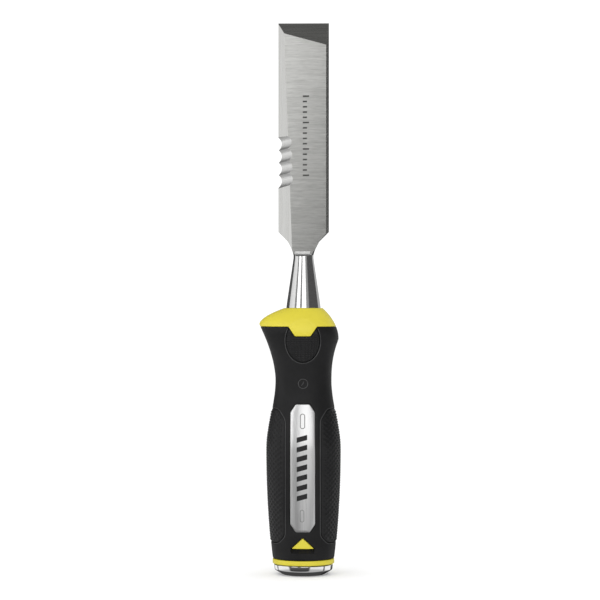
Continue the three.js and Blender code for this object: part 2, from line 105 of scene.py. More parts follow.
def half_size(z, belly, waist, guard):
    """Half the handle's width or depth: butt, belly, waist, lip and collar in one formula."""
    lip = collar_top - guard["drop"]
    swell = np.clip((z - sleeve_bottom) / (BELLY_LEVEL - sleeve_bottom), 0, 1)
    to_belly = BUTT_RADIUS + (belly - BUTT_RADIUS) * np.sin(swell ** BUTT_FULLNESS * math.pi / 2)
    to_waist = belly + (waist - belly) * ease(z, BELLY_LEVEL, WAIST_LEVEL)
    flare = np.clip((z - WAIST_LEVEL) / (lip - WAIST_LEVEL), 0, 1)
    to_lip = waist + (guard["reach"] - waist) * flare ** guard["flare"]
    fall = np.clip((z - lip) / guard["drop"], 0, 1)
    over_lip = COLLAR_TOP_RADIUS + (guard["reach"] - COLLAR_TOP_RADIUS) * (1 - fall ** guard["crown"])
    zones = [z <= BELLY_LEVEL, z <= WAIST_LEVEL, z <= lip]
    return np.select(zones, [to_belly, to_waist, to_lip], over_lip)


def half_width(z, right):
    """From the axis to the right or left side. The two differ only where the handle flares."""
    to_right = half_size(z, BELLY["across"], WAIST["across"], GUARD_RIGHT)
    to_left = half_size(z, BELLY["across"], WAIST["across"], GUARD_LEFT)
    return np.where(right, to_right, to_left)


print(f"width at the belly {2 * float(half_width(BELLY_LEVEL, True)):.1f} mm")

# %% From turn, height and inset to a point, and back
BELLY_SQUARENESS = 2.3  # 2 is a plain ellipse


def squareness(z):
    return 2 + (BELLY_SQUARENESS - 2) * ease(z, sleeve_bottom, BELLY_LEVEL)


def on_handle(turn, z, inset=0.0):
    """The point at a turn and a height, so far below the skin."""
    across = half_width(z, turn > 0) - inset
    deep = half_size(z, BELLY["deep"], WAIST["deep"], GUARD_FRONT) - inset
    power = 2 / squareness(z)
    side, front = np.sin(turn), np.cos(turn)
    x = np.sign(side) * np.abs(side) ** power * across
    y = -np.sign(front) * np.abs(front) ** power * deep
    return np.stack([x, y, z + 0 * x], axis=-1)


def turn_at(x, z):
    """The turn, on the front of the handle, of a point that is x to the right of the axis."""
    share = np.clip(np.abs(x) / half_width(z, np.asarray(x) > 0), 0, 1)
    return np.sign(x) * np.arcsin(share ** (squareness(z) / 2))


print("front of the belly:", np.round(on_handle(0.0, BELLY_LEVEL), 2))

# %% [markdown]
# ## Outlines cut into the skin
# The sleeve has pockets for the side pads, the nameplates and the thumb rests, and windows for
# the collar's tongue and a small arrow. On the front and the back each outline is the same left
# and right of the middle, so only its right half is drawn, from the bottom up. Corners are
# rounded with short arcs, and long edges get extra points so that they bend with the handle.

# %% Drawing half an outline
CORNER_STEPS = 5
LONGEST_CORNER = 0.45  # an arc takes no more than this share of either edge
LEAST_SPREAD = 0.5     # keeps a grown corner from shooting out
EDGE_STEP = 0.8


def rounded(points, radius):
    """An open outline with an arc in place of each corner between its two ends."""
    points = [Vector(p) for p in points]
    line = [points[0]]
    for before, corner, after in zip(points, points[1:], points[2:]):
        shorter = min((before - corner).length, (after - corner).length)
        reach = min(radius, shorter * LONGEST_CORNER)
        start = corner + (before - corner).normalized() * reach
        end = corner + (after - corner).normalized() * reach
        for step in range(CORNER_STEPS + 1):
            t = step / CORNER_STEPS
            line.append(start * (1 - t) ** 2 + corner * 2 * t * (1 - t) + end * t * t)
    line.append(points[-1])
    return np.array([[p.x, p.y] for p in line])


def dense(line, step=EDGE_STEP):
    """The same line with points no further apart than a step."""
    out = [line[0]]
    for a, b in zip(line, line[1:]):
        count = max(1, math.ceil(np.hypot(*(b - a)) / step))
        out += [a + (b - a) * k / count for k in range(1, count + 1)]
    return np.array(out)


def grown(half, by, mirrored=True):
    """Half an outline moved outwards all along. Its ends stay on the middle line."""
    flip = np.array([-1, 1] if mirrored else [1, 1])
    first = half[1] * flip if mirrored else 2 * half[0] - half[1]
    last = half[-2] * flip if mirrored else 2 * half[-1] - half[-2]
    before = np.vstack([first, half[:-1]])
    after = np.vstack([half[1:], last])
    normals = []
    for a, b in ((before, half), (half, after)):
        edge = (b - a) / np.linalg.norm(b - a, axis=1)[:, None]
        normals.append(np.stack([edge[:, 1], -edge[:, 0]], axis=1))
    middle = normals[0] + normals[1]
    middle /= np.linalg.norm(middle, axis=1)[:, None]
    stretch = 1 / np.maximum(LEAST_SPREAD, (middle * normals[0]).sum(axis=1))
    return half + middle * (by * stretch)[:, None]


def depth_inside(half, x, z):
    """Distance from an outline: below 0 inside it and above 0 outside. x is taken as a size."""
    point = np.stack([np.abs(x), z], axis=-1)[:, None, :]
    a, b = half[None, :-1, :], half[None, 1:, :]
    along = b - a
    t = np.clip(((point - a) * along).sum(-1) / (along ** 2).sum(-1), 0, 1)
    nearest = np.linalg.norm(point - a - t[..., None] * along, axis=-1).min(axis=1)
    above = (a[..., 1] > point[..., 1]) != (b[..., 1] > point[..., 1])
    rise = np.where(along[..., 1] == 0, 1, along[..., 1])
    crossing = a[..., 0] + (point[..., 1] - a[..., 1]) * along[..., 0] / rise
    inside = (above & (crossing > point[..., 0])).sum(axis=1) % 2 == 1
    return np.where(inside, -nearest, nearest)


print("a square corner becomes", len(rounded([(0, 0), (5, 0), (5, 5)], 1)), "points")

# %% The outlines of this handle
PLATE = {"half_width": 6.15, "rise": 13.8, "drop": 46.8, "across": 2.7, "along": 3.9, "round": 0.6}
PAD = {"inner": 9, "rise": 8.1, "drop": 49.4, "across": 3.3, "top": 5.2, "bottom": 3.6, "round": 1.5}
THUMB = {"drop": 16, "half_width": 8.3, "half_height": 10.5, "steps": 40}
TONGUE = {"height": 4.7, "top": 7.1, "bottom": 3.9, "round": 0.5}
ARROW = {"rise": 5.7, "height": 5.1, "half_width": 5.8, "round": 0.7}
SIDE_REACH = 40       # well past the handle's side
TONGUE_ROOT = 2       # how far the tongue's outline runs up into the collar
PEAK = ((0.25, 0.1), (0, 0.05))  # the arrow's blunted peak, in shares of its rounding


def plate_half(grow=0.0):
    low, high = sleeve_bottom + PLATE["rise"], collar_top - PLATE["drop"]
    half, across, along = PLATE["half_width"], PLATE["across"], PLATE["along"]
    corners = [(0, low), (half - across, low), (half, low + along)]
    corners += [(half, high - along), (half - across, high), (0, high)]
    return grown(dense(rounded(corners, PLATE["round"])), grow)


def pad_half(grow=0.0):
    """The pad's inner edge, from the side round the front and back to the side."""
    low, high = sleeve_bottom + PAD["rise"], collar_top - PAD["drop"]
    inner, across = PAD["inner"], PAD["across"]
    corners = [(SIDE_REACH, high), (inner + across, high), (inner, high - PAD["top"])]
    corners += [(inner, low + PAD["bottom"]), (inner + across, low), (SIDE_REACH, low)]
    return grown(dense(rounded(corners, PAD["round"])), grow, mirrored=False)


def pad_area(grow=0.0):
    """The same inner edge closed far outside the handle, so that the pad is its inside."""
    half = pad_half(grow)
    return np.vstack([half, half[:1]])


def thumb_half(grow=0.0):
    angles = np.linspace(-math.pi / 2, math.pi / 2, THUMB["steps"] + 1)
    across = (THUMB["half_width"] + grow) * np.cos(angles)
    across[[0, -1]] = 0
    middle = collar_top - THUMB["drop"]
    return np.stack([across, middle + (THUMB["half_height"] + grow) * np.sin(angles)], axis=1)


def tongue_half(grow=0.0):
    low = collar_bottom - TONGUE["height"]
    corners = [(0, low), (TONGUE["bottom"], low), (TONGUE["top"], collar_bottom)]
    corners += [(TONGUE["top"], collar_bottom + TONGUE_ROOT), (0, collar_bottom + TONGUE_ROOT)]
    return grown(dense(rounded(corners, TONGUE["round"])), grow)


def arrow_half(grow=0.0):
    low = sleeve_bottom + ARROW["rise"]
    half, height, soft = ARROW["half_width"], ARROW["height"], ARROW["round"]
    peak = [(across * soft, low + height - down * soft) for across, down in PEAK]
    corners = rounded([(0, low), (half, low), peak[0]], soft)
    return grown(dense(np.vstack([corners, peak[1:]])), grow)


for title, half in (("plate", plate_half()), ("pad", pad_half()), ("thumb rest", thumb_half())):
    print(f"{title}: {len(half)} points, top at {half[:, 1].max():.1f} mm")

# %% [markdown]
# ## Laying a skin out flat
# A skin with many windows is awkward to cut with booleans, because they leave thin faces along
# each cut. Here it is cut like sheet leather instead: the outlines are drawn on the unrolled
# skin, a Delaunay triangulation fills between them with even triangles, the triangles inside
# the windows are dropped, and the flat pattern is wrapped round the form with its own inset at
# each point. The inset gives lips, pockets and studs as real geometry.

# %% Fill a flat pattern with triangles
ROLL = 16.0         # millimetres for one radian of turn, near enough all over the handle
ROW_SHARE = 0.87    # height of an even triangle for a side of 1
CLEAR_SHARE = 0.55  # grid points stay this share of a side away from the lines
SIDE_GAP = 0.2      # a pad's outline stops this short of the handle's side
MERGE = 1e-4
SIDE_TURN = math.pi / 2


def flat_pattern(lines, low, high, spacing, keep, dots=()):
    """Triangles between lines of (turn, height) points, with a staggered grid of points inside."""
    points, edges = [], []
    seam = np.linspace(low[1], high[1], math.ceil((high[1] - low[1]) / spacing) + 1)
    sides = [turn for turn in (low[0], high[0]) if abs(turn) == SIDE_TURN]
    for line in [*lines, *(np.stack([np.full(len(seam), turn), seam], axis=1) for turn in sides)]:
        start = len(points)
        points += [(turn * ROLL, z) for turn, z in line]
        edges += [(i, i + 1) for i in range(start, len(points) - 1)]
    points += [(turn * ROLL, z) for turn, z in dots]
    near = kdtree.KDTree(len(points))
    for i, (u, z) in enumerate(points):
        near.insert((u, z, 0), i)
    near.balance()
    left, right = low[0] * ROLL, high[0] * ROLL
    for row, z in enumerate(np.arange(low[1] + spacing / 2, high[1], spacing * ROW_SHARE)):
        for u in np.arange(left + spacing / 2 * (1 + row % 2), right, spacing):
            if near.find((u, z, 0))[2] > CLEAR_SHARE * spacing:
                points.append((u, z))
    vectors = [Vector(p) for p in points]
    found, _, faces, *_ = delaunay_2d_cdt(vectors, edges, [], 0, MERGE)
    flat = np.array([[v.x / ROLL, v.y] for v in found])
    at_side = np.abs(np.abs(flat[:, 0]) - SIDE_TURN) < MERGE
    flat[at_side, 0] = np.sign(flat[at_side, 0]) * SIDE_TURN
    faces = np.array(faces)
    middle = flat[faces].mean(axis=1)
    return flat, faces[keep(middle[:, 0], middle[:, 1])]


def skin_size(turn, z):
    """How far right or left of the axis a point of the skin is."""
    return np.abs(on_handle(turn, z)[..., 0])


def front_line(half):
    """A whole outline on the front, from its right half."""
    right = np.stack([turn_at(half[:, 0], half[:, 1]), half[:, 1]], axis=1)
    mirrored = half[::-1] * [-1, 1]
    left = np.stack([turn_at(mirrored[:, 0], mirrored[:, 1]), mirrored[:, 1]], axis=1)
    return np.vstack([right, left])


def pad_line(side, grow):
    """The front half of the pad's outline, from the handle's side and back to it."""
    half = pad_half(grow)
    half = half[half[:, 0] < half_width(half[:, 1], side > 0) - SIDE_GAP]
    line = np.stack([turn_at(side * half[:, 0], half[:, 1]), half[:, 1]], axis=1)
    ends = [(side * SIDE_TURN, line[i, 1]) for i in (0, -1)]
    return np.vstack([ends[0], line, ends[1]])


print("left pad outline:", len(pad_line(-1, 0)), "points")

# %% Wrap a pattern into a solid piece
BACKWARDS = np.array([1, -1, 1])


def rim_edges(flat, faces):
    """Edges of a pattern with one triangle only, apart from those at the handle's sides."""
    seen = {}
    for a, b, c in faces:
        for edge in ((a, b), (b, c), (c, a)):
            seen.setdefault(tuple(sorted(edge)), []).append(edge)
    at_side = np.abs(flat[:, 0]) == SIDE_TURN
    single = [found[0] for found in seen.values() if len(found) == 1]
    return [edge for edge in single if not at_side[list(edge)].all()]


def solid_from_pattern(flat, faces, outer, inner):
    """Vertices and faces of a skin between two insets, closed along all its edges."""
    turn, z = flat[:, 0], flat[:, 1]
    count = len(flat)
    vertices = np.vstack([on_handle(turn, z, outer), on_handle(turn, z, inner)])
    lists = [list(face) for face in faces] + [[i + count for i in face[::-1]] for face in faces]
    for a, b in rim_edges(flat, faces):
        lists.append([b, a, a + count, b + count])
    return vertices, lists


def both_halves(vertices, faces):
    """The front half of a piece joined to its mirror image at the back."""
    count = len(vertices)
    behind = [[i + count for i in face[::-1]] for face in faces]
    return np.vstack([vertices, vertices * BACKWARDS]), faces + behind


def mesh_of(name, vertices, faces):
    """A mesh in metres, with doubled points joined and stray ones removed."""
    work = bmesh.new()
    made = [work.verts.new(Vector(v) * MM) for v in np.asarray(vertices, float)]
    for face in faces:
        corners = [made[i] for i in face]
        if len(set(corners)) > 2 and not work.faces.get(corners):
            work.faces.new(corners)
    bmesh.ops.remove_doubles(work, verts=work.verts, dist=2 * MERGE * MM)
    bmesh.ops.dissolve_degenerate(work, edges=work.edges, dist=MERGE * MM)
    loose = [v for v in work.verts if not v.link_faces]
    bmesh.ops.delete(work, geom=loose, context="VERTS")
    mesh = bpy.data.meshes.new(name)
    work.to_mesh(mesh)
    work.free()
    return mesh


def open_edges(mesh):
    """How many edges don't join exactly two faces: 0 for a closed solid."""
    work = bmesh.new()
    work.from_mesh(mesh)
    count = sum(1 for edge in work.edges if len(edge.link_faces) != 2)
    work.free()
    return count


def finish_piece(mesh, name, finishes, nodes=(), sharp=35):
    """Make the piece: smooth it, give it its finishes and hang it on the frame."""
    piece = bpy.data.objects.new(name, mesh)
    bpy.context.scene.collection.objects.link(piece)
    mesh.shade_smooth()
    mesh.set_sharp_from_angle(angle=math.radians(sharp))
    for made in finishes:
        mesh.materials.append(made)
    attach(piece, "root")
    if nodes:
        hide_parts(*nodes)
    print(f"{name}: {len(mesh.polygons)} faces, {open_edges(mesh)} open edges")


# %% [markdown]
# ## Finishes
# Every finish is a small node tree. Noise that is stretched along one direction makes grinding
# lines, and fine even noise makes the grain of moulded rubber. The coordinates are the object's
# own, so that the grain keeps its real size, and values that are the same everywhere are typed
# straight into the shader.

# %% Helpers for node trees
NOISE_MIDDLE = {"From Min": 0.3, "From Max": 0.7}


def new_finish(name):
    made = bpy.data.materials.new(name)
    made.use_nodes = True
    tree = made.node_tree
    shader = next(found for found in tree.nodes if found.type == "BSDF_PRINCIPLED")
    return made, tree, shader


def node(tree, kind, inputs, **settings):
    """The outputs of a new node. Each input gets a constant, or the output that feeds it."""
    made = tree.nodes.new(kind)
    for title, value in settings.items():
        setattr(made, title, value)
    for socket, value in inputs.items():
        if isinstance(value, bpy.types.NodeSocket):
            tree.links.new(value, made.inputs[socket])
        else:
            made.inputs[socket].default_value = value
    return made.outputs


def math_node(tree, operation, *values):
    inputs = dict(enumerate(values))
    return node(tree, "ShaderNodeMath", inputs, operation=operation)["Value"]


def vector_node(tree, operation, inputs, output="Vector"):
    return node(tree, "ShaderNodeVectorMath", inputs, operation=operation)[output]


def own_place(tree):
    """Where a point lies in the piece's own metres."""
    return node(tree, "ShaderNodeTexCoord", {})["Object"]


def grain(tree, scale, stretch=(1, 1, 1), detail=3.0, shift=(0, 0, 0), source=None):
    """Noise in the object's own metres, stretched along the axes."""
    if source is None:
        source = own_place(tree)
    mapping = {"Vector": source, "Scale": [scale * s for s in stretch], "Location": shift}
    moved = node(tree, "ShaderNodeMapping", mapping)["Vector"]
    noise = {"Vector": moved, "Scale": 1, "Detail": detail, "Roughness": 0.6}
    return node(tree, "ShaderNodeTexNoise", noise)["Fac"]


def ramp(tree, fac, stops):
    """Colours along a value, from (position, (r, g, b)) stops."""
    made = tree.nodes.new("ShaderNodeValToRGB")
    elements = made.color_ramp.elements
    while len(elements) < len(stops):
        elements.new(0.5)
    for element, (position, colour) in zip(elements, stops):
        element.position = position
        element.color = (*colour, 1)
    tree.links.new(fac, made.inputs["Fac"])
    return made.outputs["Color"]


def spread(tree, fac, low, high):
    """The same value moved from the middle of the noise to a range."""
    limits = {"Value": fac, **NOISE_MIDDLE, "To Min": low, "To Max": high}
    return node(tree, "ShaderNodeMapRange", limits)["Result"]


def bump(tree, shader, fac, height):
    """Fine relief: height in millimetres."""
    relief = node(tree, "ShaderNodeBump", {"Height": fac, "Distance": height * MM, "Strength": 1})
    tree.links.new(relief["Normal"], shader.inputs["Normal"])


def arced(tree, sag):
    """Object coordinates whose level lines sag across the blade, as a grinding wheel leaves them."""
    axes = node(tree, "ShaderNodeSeparateXYZ", {"Vector": own_place(tree)})
    square = math_node(tree, "MULTIPLY", axes["X"], axes["X"])
    sunk = math_node(tree, "MULTIPLY_ADD", square, sag, axes["Z"])
    return node(tree, "ShaderNodeCombineXYZ", {"X": axes["X"], "Y": axes["Y"], "Z": sunk})["Vector"]


# %% [markdown]
# ## Steel
# The blade is one bar of steel with four surfaces: the face and tip are ground across the blade,
# the side bevel is ground along it, and the cone is polished. One maker's recipe covers them all
# and takes the direction of the lines, how strong they are and how smooth the steel is.

# %% The steel finishes
COARSE_LINES = {"scale": 900, "detail": 4, "shift": (0, 0, 0)}
FINE_LINES = {"scale": 5200, "detail": 2, "shift": (3, 1, 7)}
FINE_SHARE = 0.6
LINE_STOPS = (0.36, 0.64)
ROUGH_SPREAD = 0.04
# painted shade: the face's colour goes from bright to dull against this way, between two distances along it
PAINTED_SHADE_RAMP = {"way": (-8.8, 0, 3.1), "dull": 0.40, "bright": 0.95, "least": 0.45}


def ground_steel(name, dark, light, stretch, rough, relief, sag=0.0, with_painted_shade=False):
    made, tree, shader = new_finish(name)
    source = arced(tree, sag) if sag else None
    coarse = grain(tree, stretch=stretch, source=source, **COARSE_LINES)
    fine = grain(tree, stretch=stretch, source=source, **FINE_LINES)
    coarse_part = math_node(tree, "MULTIPLY", coarse, 1 - FINE_SHARE)
    lines = math_node(tree, "MULTIPLY_ADD", fine, FINE_SHARE, coarse_part)
    colour = ramp(tree, lines, list(zip(LINE_STOPS, (dark, light))))
    if with_painted_shade:
        colour = painted_shade_gradient(tree, colour)
    tree.links.new(colour, shader.inputs["Base Color"])
    roughness = spread(tree, lines, rough - ROUGH_SPREAD, rough + ROUGH_SPREAD)
    tree.links.new(roughness, shader.inputs["Roughness"])
    shader.inputs["Metallic"].default_value = 1
    bump(tree, shader, lines, relief)
    return made


def painted_shade_gradient(tree, colour):
    """The colour, dimmer towards the neck and the spine: painted shade."""
    along = vector_node(tree, "DOT_PRODUCT", {0: own_place(tree), 1: PAINTED_SHADE_RAMP["way"]}, "Value")
    limits = {"From Min": PAINTED_SHADE_RAMP["dull"], "From Max": PAINTED_SHADE_RAMP["bright"], "To Min": PAINTED_SHADE_RAMP["least"]}
    level = node(tree, "ShaderNodeMapRange", {"Value": along, **limits})["Result"]
    return vector_node(tree, "SCALE", {"Vector": colour, "Scale": level})


ACROSS = (0.012, 0.3, 1)
LENGTHWISE = (1, 0.3, 0.012)
AROUND = (0.05, 0.05, 1)
# the face's colour carries painted shade, dimmer towards the neck and the spine
face_steel = ground_steel(
    "cross_ground_steel", (0.57, 0.57, 0.55), (0.80, 0.80, 0.775), ACROSS, 0.32, 0.005, sag=2.6, with_painted_shade=True
)
bevel_steel = ground_steel(
    "length_ground_steel", (0.56, 0.56, 0.545), (0.65, 0.65, 0.635), LENGTHWISE, 0.28, 0.003
)
# the tip bevel and the chamfers are the face's steel ground finer, with a darker colour that is painted
# shade
edge_steel_painted_shade = ground_steel(
    "fine_ground_steel_painted_shade", (0.31, 0.31, 0.295), (0.42, 0.42, 0.405), ACROSS, 0.26, 0.003
)
flute_steel = ground_steel("flute_steel", (0.64, 0.64, 0.63), (0.75, 0.75, 0.74), ACROSS, 0.42, 0.001)
cone_steel = ground_steel("polished_steel", (0.72, 0.72, 0.715), (0.78, 0.78, 0.775), AROUND, 0.09, 0.0003)
cap_steel = ground_steel("bright_cap_steel", (0.80, 0.80, 0.80), (0.88, 0.88, 0.88), AROUND, 0.06, 0.0001)
plate_steel = ground_steel("brushed_plate", (0.63, 0.63, 0.63), (0.74, 0.74, 0.74), LENGTHWISE, 0.30, 0.002)
washer_steel = ground_steel("zinc_washer", (0.45, 0.45, 0.46), (0.56, 0.56, 0.57), AROUND, 0.38, 0.004)


# %% [markdown]
# ## Plastics and rubber
# The yellow moulding is hard and satin, with faint cloudiness from the melt. The sleeve is a
# soft rubber with a fine even grain. The grip pads are the same rubber a little smoother, and the
# thin rims round the pockets are polished and coloured much lighter, a painted highlight that draws a line
# of light.

# %% The moulded finishes
CLOUD_STOPS = (0.35, 0.65)
PORE_SPREAD = (-0.05, 0.07)


def moulded(name, dark, light, rough, grain_size, relief, specular=0.5):
    made, tree, shader = new_finish(name)
    cloud = grain(tree, 90, detail=5)
    pores = grain(tree, 1000 / grain_size, detail=2, shift=(5, 2, 9))
    colour = ramp(tree, cloud, list(zip(CLOUD_STOPS, (dark, light))))
    roughness = spread(tree, pores, *(rough + change for change in PORE_SPREAD))
    tree.links.new(colour, shader.inputs["Base Color"])
    tree.links.new(roughness, shader.inputs["Roughness"])
    shader.inputs["Specular IOR Level"].default_value = specular
    bump(tree, shader, pores, relief)
    return made


yellow_plastic = moulded(
    "hard_yellow_plastic", (0.54, 0.465, 0.022), (0.58, 0.50, 0.028), 0.42, 0.5, 0.012
)
sleeve_rubber = moulded(
    "soft_black_sleeve", (0.006, 0.006, 0.0065), (0.009, 0.009, 0.0095), 0.5, 0.3, 0.03, 0.24
)
pad_rubber = moulded(
    "studded_black_pad", (0.006, 0.006, 0.0065), (0.008, 0.008, 0.0085), 0.44, 0.3, 0.015, 0.34
)
# the rims are the sleeve's rubber made much lighter: a painted highlight on the beads, on top of their real
# gloss
rim_rubber_painted_highlight = moulded(
    "polished_black_rim_painted_highlight", (0.030, 0.030, 0.031), (0.042, 0.042, 0.043), 0.4, 0.4, 0.002, 0.5
)
black_ink = moulded("black_print", (0.010, 0.010, 0.011), (0.014, 0.014, 0.015), 0.5, 0.4, 0.002, 0.3)
dark_etch = moulded("dark_etch", (0.045, 0.045, 0.043), (0.065, 0.065, 0.062), 0.6, 0.4, 0.002, 0.2)
grey_etch = moulded("grey_etch", (0.09, 0.09, 0.088), (0.13, 0.13, 0.128), 0.55, 0.4, 0.002, 0.3)
print(len(bpy.data.materials), "finishes made")

# %% [markdown]
# ## The yellow core
# The core is moulded first, straight onto the tang. What shows of it is the collar under the
# cone, the tongue that runs down over the thumb rest, and the little arrow near the butt. The
# rest lies under the sleeve. One pattern makes it all: the inset is deep where the sleeve covers
# the core and nearly nothing where the plastic comes up to the skin.

# %% The core's pattern and its bores
SLEEVE_WALL = 2.2
CORE_INSET = SLEEVE_WALL + CLEARANCE
ARROW_INSET = 0.5
RIM_STEPS = 64
EDGE = ((-0.45, 0), (-0.25, 0.02), (-0.1, 0.07), (0, 0.2))
SHEER = 0.03  # a step in the skin takes this much, so that it stands nearly upright
REST_STEP = {"drop": 0.12, "start": -0.05, "end": 0.3}
TANG_BORE = 4.8
HUB_BORE = {"radius": 7.3, "top": 17.5}
SPIGOT = {"radius": 12, "height": 1.2}
CONE_SEAT = {"radius": 8.6, "depth": 1.8, "chamfer": 0.2}
COLLAR_FACE_RADIUS = 9.05
CORE_SPACING = 1.1


def profile(distance, knots):
    """An inset read from (distance, inset) knots."""
    return np.interp(distance, [k[0] for k in knots], [k[1] for k in knots])


def level_line(z):
    turns = np.linspace(-SIDE_TURN, SIDE_TURN, RIM_STEPS + 1)
    return np.stack([turns, np.full(RIM_STEPS + 1, z)], axis=1)


def core_inset(turn, z):
    x = skin_size(turn, z)
    from_band = np.minimum(collar_bottom - z, depth_inside(tongue_half(), x, z))
    band = profile(from_band, [*EDGE, (SHEER, CORE_INSET)])
    arrow_edge = [(d, ARROW_INSET + inset) for d, inset in EDGE]
    arrow = profile(depth_inside(arrow_half(), x, z), [*arrow_edge, (SHEER, CORE_INSET)])
    top = profile(z - collar_top, EDGE)
    into_rest = -depth_inside(thumb_half(), x, z)
    step = REST_STEP["drop"] * ease(into_rest, REST_STEP["start"], REST_STEP["end"])
    return np.minimum(np.minimum(band, arrow) + top + step * (band < 1), CORE_INSET)


def core_rings(bottom):
    """The collar's top, the seat and the bores inside, and the spigot, as (radius, height)."""
    radius, chamfer = CONE_SEAT["radius"], CONE_SEAT["chamfer"]
    seat = collar_top - CONE_SEAT["depth"]
    rings = [(COLLAR_FACE_RADIUS, collar_top), (radius + chamfer, collar_top)]
    rings += [(radius, collar_top - chamfer), (radius, seat)]
    rings += [(TANG_BORE, seat), (TANG_BORE, HUB_BORE["top"])]
    rings += [(HUB_BORE["radius"], HUB_BORE["top"]), (HUB_BORE["radius"], core_bottom)]
    return [*rings, (SPIGOT["radius"], core_bottom), (SPIGOT["radius"], bottom)]


def build_core():
    bottom = core_bottom + SPIGOT["height"]
    lines = [level_line(z) for z in (bottom, collar_top)]
    lines += [level_line(collar_top + d) for d, _ in EDGE[:3]]
    lines += [level_line(collar_bottom - d) for d, _ in EDGE]
    lines.append(level_line(collar_bottom - SHEER))
    for half in (tongue_half, arrow_half):
        for grow in (*[d for d, _ in EDGE], SHEER):
            lines.append(front_line(half(grow)))
    for into_rest in (REST_STEP["end"], REST_STEP["start"]):
        lines.append(front_line(thumb_half(-into_rest)))

    def keep(turn, z):
        return (z > bottom) & (z < collar_top)

    low, high = (-SIDE_TURN, bottom), (SIDE_TURN, collar_top)
    flat, faces = flat_pattern(lines, low, high, CORE_SPACING, keep)
    turn, z = flat.T
    vertices, lists = list(on_handle(turn, z, core_inset(turn, z))), [list(face) for face in faces]
    turns, top = level_line(collar_top).T
    rows = [on_handle(turns, top, core_inset(turns, top))]
    for radius, z in core_rings(bottom):
        rows.append(np.stack([radius * np.sin(turns), -radius * np.cos(turns), 0 * turns + z], axis=1))
    rows.append(on_handle(turns, 0 * turns + bottom, CORE_INSET))
    for upper, lower in zip(rows, rows[1:]):
        start = len(vertices)
        vertices += [*upper, *lower]
        for i in range(len(turns) - 1):
            a, b = start + i, start + len(turns) + i
            lists.append([a, a + 1, b + 1, b])
    return mesh_of("core", *both_halves(np.array(vertices), lists))


finish_piece(build_core(), "yellow_core", [yellow_plastic], ["handle_core"])

# %% [markdown]
# ## The soft sleeve
# The sleeve is moulded over the core. It has shallow pockets with softened edges for the pads and
# plates, windows right through for the tongue and the arrow, and a scoop under the arrow. Its
# walls are closed at every window, so it is a real hollow moulding.

# %% The sleeve's insets
LIP = ((0.08, None), (0.11, 0.25), (0.2, 0.05), (0.4, 0.0))
SOFT_RIM = ((0, 0.2), (0.15, 0.05), (0.35, 0))
POCKET_FLOOR = -0.1    # inside this line a pocket is at its full depth
WINDOW_LIP = 0.2       # the windows' edges start this far outside the core's outlines
WINDOW_EDGE = 0.28     # and the window itself is cut this far outside them
WIDEST_WINDOW_LIP = 0.3
PAD_DEPTH = 1.5
PLATE_DEPTH = 1.1
SCOOP = {"low": 3.4, "half_width": 6.0, "depth": 1.9, "side": 0.5, "over": 0.4, "curve": 0.7}
SLEEVE_SPACING = 1.15


def pocket_inset(distance, depth):
    knots = [(d, depth if inset is None else inset) for d, inset in LIP]
    return profile(distance, [(POCKET_FLOOR, depth), *knots])


def scoop_inset(x, z):
    low = sleeve_bottom + SCOOP["low"]
    top = sleeve_bottom + ARROW["rise"]
    slope = np.clip((z - low) / (top - low), 0, 1) ** SCOOP["curve"] * (z < top + SCOOP["over"])
    return SCOOP["depth"] * slope * ease(SCOOP["half_width"] - x, 0, SCOOP["side"])


def sleeve_inset(turn, z):
    x = skin_size(turn, z)
    inset = pocket_inset(depth_inside(plate_half(), x, z), PLATE_DEPTH)
    inset += pocket_inset(depth_inside(pad_area(), x, z), PAD_DEPTH)
    inset += pocket_inset(depth_inside(thumb_half(), x, z), PAD_DEPTH)
    inset += pocket_inset(depth_inside(tongue_half(WINDOW_LIP), x, z), SLEEVE_WALL)
    inset += pocket_inset(depth_inside(arrow_half(WINDOW_LIP), x, z), SLEEVE_WALL)
    inset += scoop_inset(x, z)
    inset += profile(z - sleeve_bottom, SOFT_RIM) + profile(sleeve_rim - z, SOFT_RIM)
    return np.minimum(inset, SLEEVE_WALL)


def build_sleeve():
    lines = [level_line(sleeve_bottom + d) for d, _ in SOFT_RIM]
    lines += [level_line(sleeve_rim - d) for d, _ in SOFT_RIM]
    for d, _ in LIP:
        lines += [front_line(half(d)) for half in (plate_half, thumb_half)]
        if d <= WIDEST_WINDOW_LIP:
            lines += [front_line(half(d + WINDOW_LIP)) for half in (tongue_half, arrow_half)]
        lines += [pad_line(-1, d), pad_line(1, d)]
    bottom = sleeve_bottom + SCOOP["low"]
    top = sleeve_bottom + ARROW["rise"] + SCOOP["over"]
    for reach in (SCOOP["half_width"] - SCOOP["side"], SCOOP["half_width"]):
        box = np.array([(0, bottom), (reach, bottom), (reach, top), (0, top)])
        lines.append(front_line(dense(box)))

    def keep(turn, z):
        x = skin_size(turn, z)
        window = depth_inside(tongue_half(WINDOW_EDGE), x, z) < 0
        window |= depth_inside(arrow_half(WINDOW_EDGE), x, z) < 0
        return (z > sleeve_bottom) & (z < sleeve_rim) & ~window

    low, high = (-SIDE_TURN, sleeve_bottom), (SIDE_TURN, sleeve_rim)
    flat, faces = flat_pattern(lines, low, high, SLEEVE_SPACING, keep)
    outer = sleeve_inset(flat[:, 0], flat[:, 1])
    return mesh_of("sleeve", *both_halves(*solid_from_pattern(flat, faces, outer, SLEEVE_WALL)))


finish_piece(build_sleeve(), "soft_sleeve", [sleeve_rubber], ["grip_sleeve"])

# %% [markdown]
# ## Grip pads and thumb rests
# The pads are let into the sleeve's pockets. Each one has a rounded edge and rows of little
# domes, staggered on the side pads and in straight columns on the thumb rests. A dome is three
# rings of points drawn on the flat pattern and raised, so the studs and the pad are one skin.

# %% Studs on a pattern
STUD_SIDES = 8
STUD_RINGS = ((1.0, 0.0), (0.66, 0.55), (0.28, 1.0))


